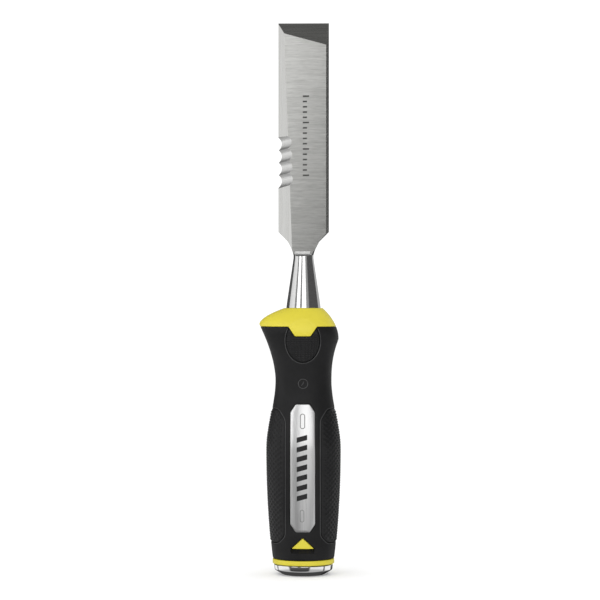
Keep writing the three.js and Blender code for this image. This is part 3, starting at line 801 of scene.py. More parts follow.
def stud_dots(centres, radius):
    """Pattern points for a dome at each centre."""
    dots = []
    for turn, z in centres:
        for share, _ in STUD_RINGS:
            for i in range(STUD_SIDES):
                a = 2 * math.pi * i / STUD_SIDES
                across, up = radius * share * math.cos(a), radius * share * math.sin(a)
                dots.append((turn + across / ROLL, z + up))
    return dots


def stud_rise(flat, centres, radius, height):
    """How far each pattern point is raised by the dome that it lies on."""
    tree = kdtree.KDTree(len(centres))
    for i, (turn, z) in enumerate(centres):
        tree.insert((turn * ROLL, z, 0), i)
    tree.balance()
    away = np.array([tree.find((turn * ROLL, z, 0))[2] for turn, z in flat]) / radius
    shares = [share for share, _ in STUD_RINGS][::-1]
    rises = [rise for _, rise in STUD_RINGS][::-1]
    return height * np.interp(away, shares, rises)


def lattice(columns, low, high, row, stagger, inside):
    """Stud centres in columns at given turns, every second one shifted by half a row."""
    centres = []
    for i, turn in enumerate(columns):
        start = low + (row / 2 if stagger and i % 2 else 0)
        centres += [(turn, z) for z in np.arange(start, high, row)]
    centres = np.array(centres)
    return centres[inside(centres[:, 0], centres[:, 1])]


# %% The side pads
PAD_SKIN = 1.2
PAD_LEAST_TURN = 0.3
PAD_EDGE = ((-0.7, 0.0), (-0.35, 0.04), (-0.15, 0.14), (0, 0.45))
SIDE_STUD = {"column": 1.55, "row": 2.5, "radius": 0.55, "height": 0.36, "margin": 1.1}
SIDE_PAD_SPACING = 1.2


def build_side_pad(side):
    lines = [pad_line(side, d) for d, _ in PAD_EDGE]
    low, high = sleeve_bottom + PAD["rise"], collar_top - PAD["drop"]

    def on_pad(turn, z, margin=0.0):
        x = skin_size(turn, z)
        return (depth_inside(pad_area(), x, z) < -margin) & (np.sign(turn) == side)

    columns = side * np.arange(SIDE_TURN, PAD_LEAST_TURN, -SIDE_STUD["column"] / ROLL)
    centres = lattice(columns, low, high, SIDE_STUD["row"], True,
                      lambda turn, z: on_pad(turn, z, SIDE_STUD["margin"]))
    dots = [dot for dot in stud_dots(centres, SIDE_STUD["radius"]) if abs(dot[0]) <= SIDE_TURN]
    turns = sorted([side * PAD_LEAST_TURN, side * SIDE_TURN])
    corners = [(turns[0], low), (turns[1], high)]
    flat, faces = flat_pattern(lines, *corners, SIDE_PAD_SPACING, on_pad, dots)
    outer = profile(depth_inside(pad_area(), skin_size(*flat.T), flat[:, 1]), PAD_EDGE)
    outer = outer - stud_rise(flat, centres, SIDE_STUD["radius"], SIDE_STUD["height"])
    return mesh_of("side_pad", *both_halves(*solid_from_pattern(flat, faces, outer, PAD_SKIN)))


DOME_SHARP = 50  # degrees: the domes stay smooth
for side, label in ((-1, "left"), (1, "right")):
    pad = build_side_pad(side)
    stands_for = [f"grip_pad_{label}"]
    finish_piece(pad, f"studded_pad_{label}", [pad_rubber], stands_for, DOME_SHARP)


# %% The thumb rests
THUMB_STUD = {"columns": 14, "column": 1.3, "row": 1.05, "radius": 0.46, "height": 0.3, "margin": 0.75}
REST_REACH = 0.62           # turn at which the pattern ends on either side
REST_TOP = {"drop": 0.05, "half_width": 0.7}
REST_SPACING = 0.9
FRONT_AND_REAR = {"front": 1, "rear": -1}


def mirrored(vertices, faces, facing):
    """The same solid on the front (1) or mirrored to the back (-1)."""
    if facing > 0:
        return vertices, faces
    return vertices * BACKWARDS, [face[::-1] for face in faces]


def build_thumb_rest(facing):
    lines = [front_line(thumb_half(d)) for d, _ in PAD_EDGE]
    lines.append(front_line(tongue_half(CLEARANCE)))
    top, reach = sleeve_top - REST_TOP["drop"], REST_TOP["half_width"]
    lines.append(np.array([(-reach, top), (reach, top)]))

    def on_rest(turn, z, margin=0.0):
        x = skin_size(turn, z)
        below = (depth_inside(thumb_half(), x, z) < -margin) & (z < top - margin)
        return below & (depth_inside(tongue_half(CLEARANCE), x, z) > margin)

    bottom = collar_top - THUMB["drop"] - THUMB["half_height"]
    steps = np.arange(THUMB_STUD["columns"]) - (THUMB_STUD["columns"] - 1) / 2
    columns = steps * THUMB_STUD["column"] / ROLL
    centres = lattice(columns, bottom, sleeve_top, THUMB_STUD["row"], False,
                      lambda turn, z: on_rest(turn, z, THUMB_STUD["margin"]))
    dots = stud_dots(centres, THUMB_STUD["radius"])
    corners = [(-REST_REACH, bottom), (REST_REACH, sleeve_top)]
    flat, faces = flat_pattern(lines, *corners, REST_SPACING, on_rest, dots)
    outer = profile(depth_inside(thumb_half(), skin_size(*flat.T), flat[:, 1]), PAD_EDGE)
    outer = outer - stud_rise(flat, centres, THUMB_STUD["radius"], THUMB_STUD["height"])
    return mesh_of("thumb_rest", *mirrored(*solid_from_pattern(flat, faces, outer, PAD_SKIN), facing))


for label, facing in FRONT_AND_REAR.items():
    rest = build_thumb_rest(facing)
    stands_for = [f"thumb_pad_{label}"]
    finish_piece(rest, f"thumb_rest_{label}", [pad_rubber], stands_for, DOME_SHARP)

# %% [markdown]
# ## Nameplates
# A thin brushed plate is let into the sleeve on each side. Seven slanted bars are printed on it,
# with a plain slot outline above them and a fainter one below. Print has almost no thickness, so
# each mark is a film of 0.04 mm that follows the plate.

# %% The plates
PLATE_SKIN = 0.8
PLATE_EDGE = ((-0.5, 0.0), (-0.25, 0.03), (-0.1, 0.1), (0, 0.25))
PLATE_REACH = 0.5
PLATE_SPACING = 1.0


def build_plate(facing):
    lines = [front_line(plate_half(d)) for d, _ in PLATE_EDGE]

    def on_plate(turn, z):
        return depth_inside(plate_half(), skin_size(turn, z), z) < 0

    low, high = (-PLATE_REACH, sleeve_bottom + PLATE["rise"]), (PLATE_REACH, collar_top - PLATE["drop"])
    flat, faces = flat_pattern(lines, low, high, PLATE_SPACING, on_plate)
    outer = profile(depth_inside(plate_half(), skin_size(*flat.T), flat[:, 1]), PLATE_EDGE)
    return mesh_of("plate", *mirrored(*solid_from_pattern(flat, faces, outer, PLATE_SKIN), facing))


for label, facing in FRONT_AND_REAR.items():
    plate = build_plate(facing)
    finish_piece(plate, f"plate_{label}", [plate_steel], [f"nameplate_{label}"])

# %% The marks on the plates
BARS = {"count": 7, "first": 67.0, "pitch": 4.75, "thick": 2.5, "slant": 1.4, "left": -2.9, "right": 2.2}
SLOT_MARK = {"middle": 76.0, "x": -0.1, "half_length": 3.7, "radius": 1.25, "line": 0.35}
FAINT_MARK = {"middle": 30.0, "x": -0.3, "half_length": 3.0, "radius": 1.0, "line": 0.2}
FILM = {"over": 0.04, "under": 0.02, "edge_step": 0.4, "spacing": 0.8}


def obround(x, middle, half_length, radius, steps=10):
    """A closed slot outline of half circles joined by straight sides."""
    points = []
    for end, start in ((1, 0), (-1, math.pi)):
        centre = middle + end * (half_length - radius)
        for i in range(steps + 1):
            a = start + math.pi * i / steps
            points.append((x + radius * math.cos(a), centre + radius * math.sin(a)))
    return np.array(points + points[:1])


def inside_loop(loop, x, z):
    a, b = loop[None, :-1], loop[None, 1:]
    above = (a[..., 1] > z[:, None]) != (b[..., 1] > z[:, None])
    rise = np.where(a[..., 1] == b[..., 1], 1, b[..., 1] - a[..., 1])
    crossing = a[..., 0] + (z[:, None] - a[..., 1]) * (b[..., 0] - a[..., 0]) / rise
    return (above & (crossing > x[:, None])).sum(axis=1) % 2 == 1


def film_on_skin(loops, facing):
    """A thin film on the skin inside the first loop and outside the others."""
    lines = []
    for loop in loops:
        line = dense(loop, FILM["edge_step"])
        lines.append(np.stack([turn_at(line[:, 0], line[:, 1]), line[:, 1]], axis=1))

    def keep(turn, z):
        x = on_handle(turn, z)[:, 0]
        inside = inside_loop(loops[0], x, z)
        for hole in loops[1:]:
            inside &= ~inside_loop(hole, x, z)
        return inside

    everything = np.vstack(lines)
    low, high = everything.min(axis=0), everything.max(axis=0)
    flat, faces = flat_pattern(lines, low, high, FILM["spacing"], keep)
    return mirrored(*solid_from_pattern(flat, faces, -FILM["over"], FILM["under"]), facing)


def joined(solids):
    """Several solids as one list of vertices and one of faces."""
    vertices, faces = [], []
    for some, lists in solids:
        start = len(vertices)
        vertices += list(some)
        faces += [[i + start for i in face] for face in lists]
    return vertices, faces


def bar_loops():
    for i in range(BARS["count"]):
        z = BARS["first"] - i * BARS["pitch"]
        left, right, slant, thick = BARS["left"], BARS["right"], BARS["slant"], BARS["thick"]
        corners = [(left, z - slant), (right, z), (right, z + thick), (left, z + thick - slant)]
        yield np.array(corners + corners[:1])


def ring_loops(mark):
    half_length, radius = mark["half_length"], mark["radius"]
    sizes = [(half_length - line, radius - line) for line in (0, mark["line"])]
    return [obround(mark["x"], mark["middle"], *size) for size in sizes]


for label, facing in FRONT_AND_REAR.items():
    bars = joined([film_on_skin([loop], facing) for loop in bar_loops()])
    finish_piece(mesh_of("bars", *bars), f"plate_bars_{label}", [black_ink])
    slots = joined([film_on_skin(ring_loops(mark), facing) for mark in (SLOT_MARK, FAINT_MARK)])
    finish_piece(mesh_of("slots", *slots), f"plate_slots_{label}", [grey_etch])

# %% [markdown]
# ## Raised beads
# The handle carries a small raised ring at the waist with a short tick inside it, and a thin
# polished rim runs round the pockets. All of them are a round bead swept along a path in the
# skin of the sleeve, sunk so far that it meets the rubber without a gap.

# %% The ring at the waist
MOULD_RING = {"x": 0.1, "z": 94.2, "radius": 2.3, "bead": 0.22, "steps": 40, "sides": 8}
TICK = ((-0.9, -0.9), (0, 0), (0.3, 1.1))
SUNK = 0.2         # share of the bead's radius that its middle lies below the skin
BEAD_SHARP = 60


def bead_on_skin(path, bead, sides, closed):
    """A round bead swept along (x, z) points of the front skin."""
    vertices, faces = [], []
    count = len(path)
    for i, (x, z) in enumerate(path):
        before = path[i - 1] if closed or i else path[i]
        after = path[(i + 1) % count] if closed or i + 1 < count else path[i]
        along = np.array([after[0] - before[0], after[1] - before[1]])
        across = np.array([along[1], -along[0]]) / np.hypot(*along)
        for k in range(sides):
            a = 2 * math.pi * k / sides
            u = x + across[0] * bead * math.cos(a)
            v = z + across[1] * bead * math.cos(a)
            vertices.append(on_handle(turn_at(u, v), v, -bead * (math.sin(a) - SUNK)))
    last = count if closed else count - 1
    for i in range(last):
        for k in range(sides):
            a, b = i * sides + k, ((i + 1) % count) * sides + k
            c, d = ((i + 1) % count) * sides + (k + 1) % sides, i * sides + (k + 1) % sides
            faces.append([a, b, c, d])
    if not closed:
        faces += [list(range(sides)), list(range((count - 1) * sides, count * sides))[::-1]]
    return np.array(vertices), faces


def round_ring(radius, steps):
    """Points of a circle round the ring's middle."""
    x, z = MOULD_RING["x"], MOULD_RING["z"]
    angles = [2 * math.pi * i / steps for i in range(steps)]
    return [(x + radius * math.cos(a), z + radius * math.sin(a)) for a in angles]


circle = round_ring(MOULD_RING["radius"], MOULD_RING["steps"])
tick = [(MOULD_RING["x"] + x, MOULD_RING["z"] + z) for x, z in TICK]
ring_solids = [
    bead_on_skin(path, MOULD_RING["bead"], MOULD_RING["sides"], path is circle)
    for path in (circle, tick)
]
ring_mesh = mesh_of("ring", *joined(ring_solids))
finish_piece(ring_mesh, "mould_ring", [rim_rubber_painted_highlight], sharp=BEAD_SHARP)

# %% Polished rims round the pockets
RIM = {"away": 0.45, "bead": 0.2, "sides": 6, "side_reach": 15.2, "tongue_gap": 0.9}


def rim_paths():
    """The thumb rest's rim below the tongue, and the rims of both side pads."""
    half = thumb_half(RIM["away"])
    clear = depth_inside(tongue_half(), half[:, 0], half[:, 1]) > RIM["tongue_gap"]
    half = half[clear & (half[:, 1] < sleeve_rim - RIM["tongue_gap"])]
    yield np.vstack([(half * [-1, 1])[:0:-1], half])
    pad = pad_half(RIM["away"])
    pad = pad[pad[:, 0] < RIM["side_reach"]]
    yield pad
    yield pad * [-1, 1]


for label, facing in FRONT_AND_REAR.items():
    rims = [bead_on_skin(path, RIM["bead"], RIM["sides"], False) for path in rim_paths()]
    vertices, faces = joined(rims)
    rim_mesh = mesh_of("rims", *mirrored(np.array(vertices), faces, facing))
    rims_name = f"pocket_rims_{label}"
    finish_piece(rim_mesh, rims_name, [rim_rubber_painted_highlight], sharp=BEAD_SHARP)

# %% [markdown]
# ## Turned pieces
# The end ring, the washer and the cap are turned on a lathe. In Blender a turned piece is its
# half outline spun round the axis. The corners get small arcs, because a sharp turned edge
# looks like paper: real ones are broken with a file and catch a thin line of light.

# %% Spin an outline
TURN_STEPS = 128


def softened(points, radius):
    """A closed outline with an arc at each of its corners."""
    return rounded([points[-1], *points, points[0]], radius)[1:-1]


def turned(line, steps=TURN_STEPS):
    """Vertices and faces of a closed (radius, height) outline spun round the tool's axis."""
    count = len(line)
    vertices, faces = [], []
    for i in range(steps):
        a = 2 * math.pi * i / steps
        vertices += [(r * math.cos(a), r * math.sin(a), z) for r, z in line]
    for i in range(steps):
        here, there = i * count, ((i + 1) % steps) * count
        for k in range(count):
            after = (k + 1) % count
            faces.append([here + k, there + k, there + after, here + after])
    return vertices, faces


RING = {"inner": 12.3, "outer": 15.2, "round": 0.55}
ring_outline = [(RING["inner"], ring_bottom), (RING["outer"], ring_bottom)]
ring_outline += [(RING["outer"], ring_top), (RING["inner"], ring_top)]
ring_mesh = mesh_of("end_ring", *turned(softened(ring_outline, RING["round"])))
finish_piece(ring_mesh, "yellow_end_ring", [yellow_plastic], ["end_ring"])

# %% The strike cap
CAP = {"radius": 14.5, "draft": 0.3, "top": 5.2, "round": 0.35, "sharp": 25}
CAP_CHAMFER = {"across": 4.3, "high": 2.6, "break": 0.5}
CAP_BOSS = {"radius": 7.0, "top": 17.2}
CAP_HOLE = {"radius": 4.2, "floor": 9.0}
NEAR_AXIS = 0.01
cap_rim = CAP["radius"] - CAP["draft"]
edge_break = CAP_CHAMFER["break"]
cap_outline = [
    (NEAR_AXIS, 0),
    (cap_rim - CAP_CHAMFER["across"], 0),
    (cap_rim - edge_break, CAP_CHAMFER["high"] - edge_break),
    (cap_rim, CAP_CHAMFER["high"]),
    (CAP["radius"], CAP["top"]),
    (CAP_BOSS["radius"], CAP["top"]),
    (CAP_BOSS["radius"], CAP_BOSS["top"]),
    (CAP_HOLE["radius"], CAP_BOSS["top"]),
    (CAP_HOLE["radius"], CAP_HOLE["floor"]),
    (NEAR_AXIS, CAP_HOLE["floor"]),
]
cap_mesh = mesh_of("cap", *turned(rounded(cap_outline, CAP["round"])))
finish_piece(cap_mesh, "bright_strike_cap", [cap_steel], ["strike_cap"], CAP["sharp"])

# %% The washer under the cap stays as the frame has it
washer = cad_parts["cap_washer"]
washer.data.materials.clear()
washer.data.materials.append(washer_steel)

# %% [markdown]
# ## The blade
# The blade is one forging, ground on flat wheels. Grinding is cutting with a plane, so here a
# blank is cut with large blocks, which is exactly what Blender's boolean tool does well: flat
# faces in, flat faces out. The four flutes are cut with a round bar held at a slant, and so are
# the hollow corner where the face runs out at the neck and the one behind it.

# %% Sizes of the blade
BLADE = {"half_width": 12.5, "back": 3.2, "thin_side": 2.6, "bevel_width": 3.0, "edge_land": 0.3}
FACE = {"tilt": 0.127, "taper": 0.0238}
TIP = {"angle": math.radians(25), "land": 0.15}
SPINE = {"across": 1.3, "deep": 1.9}
SHOULDER = {"rise": 9.6, "corner": 4.7}
SHOULDER_CHAMFER = {"across": 0.55, "deep": 0.825, "over": 0.5}
FLARE = {"drop": 1.8, "across": 0.5, "rise": 0.9}
FLARE_SPREAD = ((1.4, 2), (4, 4.6))
BACK_COVE = 1.7
RUN_OUT = {"length": 1.3, "lift": 0.08, "shelf": 1.1}
FLUTE = {"count": 4, "pitch": 6.13, "depth": 1.66, "radius": 5.2, "drop": 59.65}
FLUTE_INCLINE = math.radians(41)
FLUTE_RISE = math.radians(9)
CONE = {"length": 27.9, "radius": 8.3, "neck": 4.93, "straight": 4.1, "sink": 1.5, "steps": 8}
CONE_FOOT = {"draw": 0.12, "rise": 2.4}
CONE_HEAD = {"spread": 0.42, "drop": 2.2, "rise": 1}
CONE_ROOT = 4       # how far the cone's bar runs up into the flat of the blade
TANG = {"radius": 4.5, "end_radius": 3.9, "step_low": 17.5, "step_high": 17.9, "chamfer": 0.4}
neck_level = collar_top + CONE["length"]


def face_thickness(x, z):
    """From the flat back to the ground face, which rises towards the spine and the handle."""
    corner_x = BLADE["bevel_width"] - BLADE["half_width"]
    corner_z = tip_level - BLADE["thin_side"] / math.tan(TIP["angle"])
    return BLADE["thin_side"] + FACE["tilt"] * (x - corner_x) + FACE["taper"] * (corner_z - z)


face_front = BLADE["back"] - face_thickness(0, neck_level)
spine_thickness = face_thickness(BLADE["half_width"], neck_level + SHOULDER["rise"])
print(f"blade {spine_thickness:.1f} mm thick at the spine, above the shoulder")


# %% Tools for grinding
def temporary(vertices, faces):
    """A closed solid to cut or join with, its faces all turned outwards."""
    mesh = mesh_of("tool", vertices, faces)
    work = bmesh.new()
    work.from_mesh(mesh)
    bmesh.ops.recalc_face_normals(work, faces=work.faces)
    work.to_mesh(mesh)
    work.free()
    piece = bpy.data.objects.new("tool", mesh)
    bpy.context.scene.collection.objects.link(piece)
    return piece


def combine(piece, tool, how):
    """Cut, join or intersect two solids, and throw the tool away."""
    step = piece.modifiers.new("step", "BOOLEAN")
    step.operation = how
    step.solver = "EXACT"
    step.object = tool
    result = piece.evaluated_get(bpy.context.evaluated_depsgraph_get())
    mesh = bpy.data.meshes.new_from_object(result)
    piece.modifiers.clear()
    piece.data = mesh
    bpy.data.objects.remove(tool)
    return piece


def block(point, normal, size=600.0):
    """A big block that starts at a plane and fills the side that the normal points to."""
    turn = Vector(normal).to_track_quat("Z", "Y").to_matrix()
    corners = [(x, y, z) for x in (-0.5, 0.5) for y in (-0.5, 0.5) for z in (0, 1)]
    vertices = [turn @ (Vector(c) * size) + Vector(point) for c in corners]
    faces = [(0, 1, 3, 2), (4, 6, 7, 5), (0, 4, 5, 1), (2, 3, 7, 6), (0, 2, 6, 4), (1, 5, 7, 3)]
    return temporary(vertices, faces)


def bar(radius, centre, along, length, steps=96):
    """A round bar, which grinds a hollow."""
    turn = Vector(along).to_track_quat("Z", "Y").to_matrix()
    vertices, faces = [], []
    for end in (-0.5, 0.5):
        for i in range(steps):
            a = 2 * math.pi * i / steps
            point = Vector((radius * math.cos(a), radius * math.sin(a), end * length))
            vertices.append(turn @ point + Vector(centre))
    for i in range(steps):
        after = (i + 1) % steps
        faces.append([i, after, steps + after, steps + i])
    faces += [list(range(steps))[::-1], list(range(steps, 2 * steps))]
    return temporary(vertices, faces)


def slab(outline, front, back):
    """An (x, z) outline pushed through from front to back."""
    count = len(outline)
    vertices = [(x, y, z) for y in (front, back) for x, z in outline]
    faces = [list(range(count)), list(range(count, 2 * count))[::-1]]
    for i in range(count):
        after = (i + 1) % count
        faces.append([after, i, count + i, count + after])
    return temporary(vertices, faces)


def layer(low, high):
    """Everything between two levels."""
    return slab([(-50, low), (50, low), (50, high), (-50, high)], -50, 50)


# %% The forging: tang, cone and neck
def flank():
    """Radius and height at four places up the cone's side, from the collar to the neck."""
    top = neck_level - CONE["straight"]
    return np.array([
        (CONE["radius"], collar_top),
        (CONE["radius"] - CONE_FOOT["draw"], collar_top + CONE_FOOT["rise"]),
        (CONE["neck"] + CONE_HEAD["spread"], top - CONE_HEAD["drop"]),
        (CONE["neck"], top + CONE_HEAD["rise"]),
    ])


def smooth_through(knots, steps):
    """A smooth curve through knots (a Catmull-Rom spline)."""
    padded = [knots[0], *knots, knots[-1]]
    points = [knots[0]]
    for p0, p1, p2, p3 in zip(padded, padded[1:], padded[2:], padded[3:]):
        for i in range(1, steps + 1):
            t = i / steps
            point = 2 * p1 + (p2 - p0) * t
            point = point + (2 * p0 - 5 * p1 + 4 * p2 - p3) * t * t
            points.append(0.5 * (point + (3 * p1 - p0 - 3 * p2 + p3) * t ** 3))
    return points


def build_forging():
    seat = collar_top - CONE["sink"]
    thin, chamfer = TANG["end_radius"], TANG["chamfer"]
    outline = [(0.0, tang_end), (thin - chamfer, tang_end), (thin, tang_end + chamfer)]
    outline += [(thin, TANG["step_low"]), (TANG["radius"], TANG["step_high"])]
    outline += [(TANG["radius"], seat), (CONE["radius"], seat)]
    outline += [tuple(p) for p in smooth_through(flank(), CONE["steps"])]
    outline += [(CONE["neck"], neck_level + CONE_ROOT), (0.0, neck_level + CONE_ROOT)]
    return temporary(*turned_solid(outline))


def turned_solid(outline, steps=TURN_STEPS):
    """A spun solid whose outline starts and ends on the axis."""
    inner = outline[1:-1]
    count = len(inner)
    vertices = [(0, 0, outline[0][1]), (0, 0, outline[-1][1])]
    for i in range(steps):
        a = 2 * math.pi * i / steps
        vertices += [(r * math.cos(a), r * math.sin(a), z) for r, z in inner]
    faces = []
    for i in range(steps):
        here, there = 2 + i * count, 2 + ((i + 1) % steps) * count
        faces += [[here + k, there + k, there + k + 1, here + k + 1] for k in range(count - 1)]
        faces += [[0, there, here], [1, here + count - 1, there + count - 1]]
    return vertices, faces


forging = build_forging()
print("forging:", len(forging.data.polygons), "faces")


# %% The flat of the blade, with its shoulders
def curve(start, pull, end, steps=16):
    """A quadratic curve from start to end, pulled towards a point."""
    line = []
    for i in range(1, steps + 1):
        t = i / steps
        line.append(tuple(
            s * (1 - t) ** 2 + p * 2 * t * (1 - t) + e * t * t
            for s, p, e in zip(start, pull, end)
        ))
    return line


def right_side():
    """The blade's right outline, from the neck round the shoulder and up to the tip."""
    half, neck = BLADE["half_width"], CONE["neck"]
    shoulder = neck_level + SHOULDER["rise"]
    elbow = (half - SHOULDER["corner"], shoulder - SHOULDER["corner"])
    low = (neck, neck_level - FLARE["drop"])
    pull = (neck + FLARE["across"], neck_level + FLARE["rise"])
    return [low, *curve(low, pull, elbow), (half, shoulder), (half, tip_level)]


def build_flat():
    half, neck = BLADE["half_width"], CONE["neck"]
    right = right_side()
    left = [(-x, z) for x, z in right[::-1]]
    flat = slab(right + left, -half, BLADE["back"])
    low = neck_level - FLARE["drop"]
    blend = [(0, low - 1), (neck, low - 1), (neck, low)]
    blend += [(neck + across, low + rise) for across, rise in FLARE_SPREAD]
    blend += [(4 * half, low + 4 * half), (4 * half, tip_level + 1), (0, tip_level + 1)]
    return combine(flat, temporary(*turned_solid(blend)), "INTERSECT")


def shoulder_cutter():
    """Takes the front edge off the slanting shoulder: nothing at the elbow, most at the corner."""
    shoulder = neck_level + SHOULDER["rise"]
    corner_x, drop = BLADE["half_width"], SHOULDER["corner"]
    elbow = (corner_x - drop, shoulder - drop)
    diagonal = SHOULDER_CHAMFER["across"] * math.sqrt(0.5)
    inner = (corner_x - diagonal, shoulder + diagonal)
    start, middle, end = (
        Vector((x, BLADE["back"] - face_thickness(x, z) + back, z))
        for x, z, back in ((*elbow, 0), (*inner, 0), (corner_x, shoulder, SHOULDER_CHAMFER["deep"]))
    )
    normal = (middle - start).cross(end - middle)
    if normal.y > 0:
        normal.negate()
    slice_of_shoulder = layer(elbow[1], shoulder + SHOULDER_CHAMFER["over"])
    return combine(block(start, normal), slice_of_shoulder, "INTERSECT")


def grind(flat):
    """Face, side bevel, tip bevel, shoulder and spine chamfer, one wheel after another."""
    half, back = BLADE["half_width"], BLADE["back"]
    slope = (BLADE["thin_side"] - BLADE["edge_land"]) / BLADE["bevel_width"]
    across, deep = SPINE["across"], SPINE["deep"]
    chamfer_front = back - face_thickness(half - across, neck_level)
    chamfer_normal = (deep + FACE["tilt"] * across, -across, FACE["taper"] * across)
    wheels = [
        block((0, face_front, neck_level), (-FACE["tilt"], -1, FACE["taper"])),
        block((-half, back - BLADE["edge_land"], 0), (-slope, -1, 0)),
        block((0, back - TIP["land"], tip_level), (0, -1, math.tan(TIP["angle"]))),
        shoulder_cutter(),
        block((half - across, chamfer_front, neck_level), chamfer_normal),
    ]
    for wheel in wheels:
        combine(flat, wheel, "DIFFERENCE")
    return flat


def cut_flutes(flat):
    """The slanted hollows in the thin edge, evenly spaced below the tip."""
    rise = math.tan(FLUTE_RISE) * math.cos(FLUTE_INCLINE)
    along = (math.cos(FLUTE_INCLINE), -math.sin(FLUTE_INCLINE), rise)
    for i in range(FLUTE["count"]):
        x = -BLADE["half_width"] + FLUTE["depth"] - FLUTE["radius"] * math.sin(FLUTE_INCLINE)
        y = BLADE["back"] - FLUTE["radius"] * math.cos(FLUTE_INCLINE)
        z = tip_level - FLUTE["drop"] - i * FLUTE["pitch"]
        combine(flat, bar(FLUTE["radius"], (x, y, z), along, 3 * FLUTE["radius"]), "DIFFERENCE")
    return flat


flat = cut_flutes(grind(build_flat()))
print("ground flat:", len(flat.data.polygons), "faces,", open_edges(flat.data), "open edges")

# %% Run the face out at the neck and join the two
run_out_level = neck_level - RUN_OUT["length"]
shelf_level = run_out_level - RUN_OUT["shelf"]
corner_front = face_front - RUN_OUT["lift"]
face_normal = (-FACE["tilt"], -1, FACE["taper"])
strip_normal = (-FACE["tilt"], -1, RUN_OUT["lift"] / RUN_OUT["length"])
ROOT_SPAN = 10      # the cone's bar is ground flush over this height above the neck
BAR_LENGTH = 50

blade_solid = combine(flat, forging, "UNION")
cuts = [
    (face_front, face_normal, neck_level, neck_level + ROOT_SPAN),
    (face_front, strip_normal, run_out_level, neck_level),
    (corner_front - RUN_OUT["shelf"], face_normal, shelf_level, run_out_level),
]
for front, normal, low, high in cuts:
    cutter = combine(block((0, front, neck_level), normal), layer(low, high), "INTERSECT")
    combine(blade_solid, cutter, "DIFFERENCE")
along_shelf = (1, -FACE["tilt"], 0)
shelf_corner = (0, corner_front - RUN_OUT["shelf"], run_out_level)
combine(blade_solid, bar(RUN_OUT["shelf"], shelf_corner, along_shelf, BAR_LENGTH), "DIFFERENCE")
behind = block((0, BLADE["back"], neck_level), (0, 1, 0))
behind = combine(behind, layer(neck_level, neck_level + ROOT_SPAN), "INTERSECT")
combine(blade_solid, behind, "DIFFERENCE")
cove_middle = (0, BLADE["back"] + BACK_COVE, neck_level)
combine(blade_solid, bar(BACK_COVE, cove_middle, (1, 0, 0), BAR_LENGTH), "DIFFERENCE")
blade_mesh = blade_solid.data
bpy.data.objects.remove(blade_solid)
print("blade:", len(blade_mesh.polygons), "faces,", open_edges(blade_mesh), "open edges")


# %% Tell the facets apart and give each its steel
SAME_WAY = 0.9995     # two directions this close count as one
CONE_ZONE = {"over": 0.5, "radius": CONE["radius"] + 1}
SLANT = {"least": 0.3, "most": 0.95, "x": 4}
FLUTE_SPAN = {"above": 6, "x": -4}
SIDE_BEVEL_SLOPE = (BLADE["thin_side"] - BLADE["edge_land"]) / BLADE["bevel_width"]
FACET_NORMALS = (
    ((-SIDE_BEVEL_SLOPE, -1, 0), 1),
    ((0, -1, math.tan(TIP["angle"])), 2),
    (strip_normal, 3),
    (face_normal, 0),
    ((0, 1, 0), 0),
)


def facet_of(polygon):
    """0 face and back, 1 side bevel, 2 tip and chamfer, 3 flutes and run-out, 4 cone and tang."""
    normal, centre = polygon.normal, polygon.center / MM
    for direction, finish in FACET_NORMALS:
        if normal.dot(Vector(direction).normalized()) > SAME_WAY:
            return finish
    if centre.z < neck_level + CONE_ZONE["over"] and math.hypot(centre.x, centre.y) < CONE_ZONE["radius"]:
        return 4
    slanted = normal.x > SLANT["least"] and -SLANT["most"] < normal.y < -SLANT["least"]
    if slanted and centre.x > SLANT["x"]:
        return 2
    first = tip_level - FLUTE["drop"]
    fluted = first + FLUTE_SPAN["above"] > centre.z > first - FLUTE["count"] * FLUTE["pitch"]
    return 3 if fluted and centre.x < FLUTE_SPAN["x"] else 0


for polygon in blade_mesh.polygons:
    polygon.material_index = facet_of(polygon)
finishes = [face_steel, bevel_steel, edge_steel_painted_shade, flute_steel, cone_steel]
GROUND_SHARP = 12  # degrees: ground edges are crisp
finish_piece(blade_mesh, "forged_blade", finishes, ["blade"], GROUND_SHARP)

# %% [markdown]
# ## Etched scale
# A plain scale of ticks runs up the blade. Each tick is a thin film that lies on the ground face
# and tilts with it, and every fifth one is longer.

# %% The ticks
TICKS = {"count": 16, "every": 5, "low": 196.0, "pitch": 2.6, "left": -0.32}
TICK_SIZE = {"thick": 0.8, "long": 3.1, "short": 2.1, "over": 0.015, "under": 0.02}


def tick_film(left, right, low, high):
    """A thin film on the blade's face."""
    corners = [(left, low), (right, low), (right, high), (left, high)]
    vertices = []
    for lift in (TICK_SIZE["over"], -TICK_SIZE["under"]):
        for x, z in corners:
            vertices.append((x, BLADE["back"] - face_thickness(x, z) - lift, z))
    faces = [[0, 1, 2, 3], [7, 6, 5, 4], [0, 4, 5, 1], [1, 5, 6, 2], [2, 6, 7, 3], [3, 7, 4, 0]]
    return vertices, faces


ticks = []
for i in range(TICKS["count"]):
    size = TICK_SIZE["long"] if i % TICKS["every"] == 0 else TICK_SIZE["short"]
    z = TICKS["low"] + i * TICKS["pitch"]
    ticks.append(tick_film(TICKS["left"], TICKS["left"] + size, z, z + TICK_SIZE["thick"]))
finish_piece(mesh_of("ticks", *joined(ticks)), "etched_scale", [dark_etch])

# %% [markdown]
# ## Camera
# The tool is shown standing on its cap, seen level from just right of the front with a long
# lens, which keeps its sides nearly parallel. The camera's distance is a little over a metre.

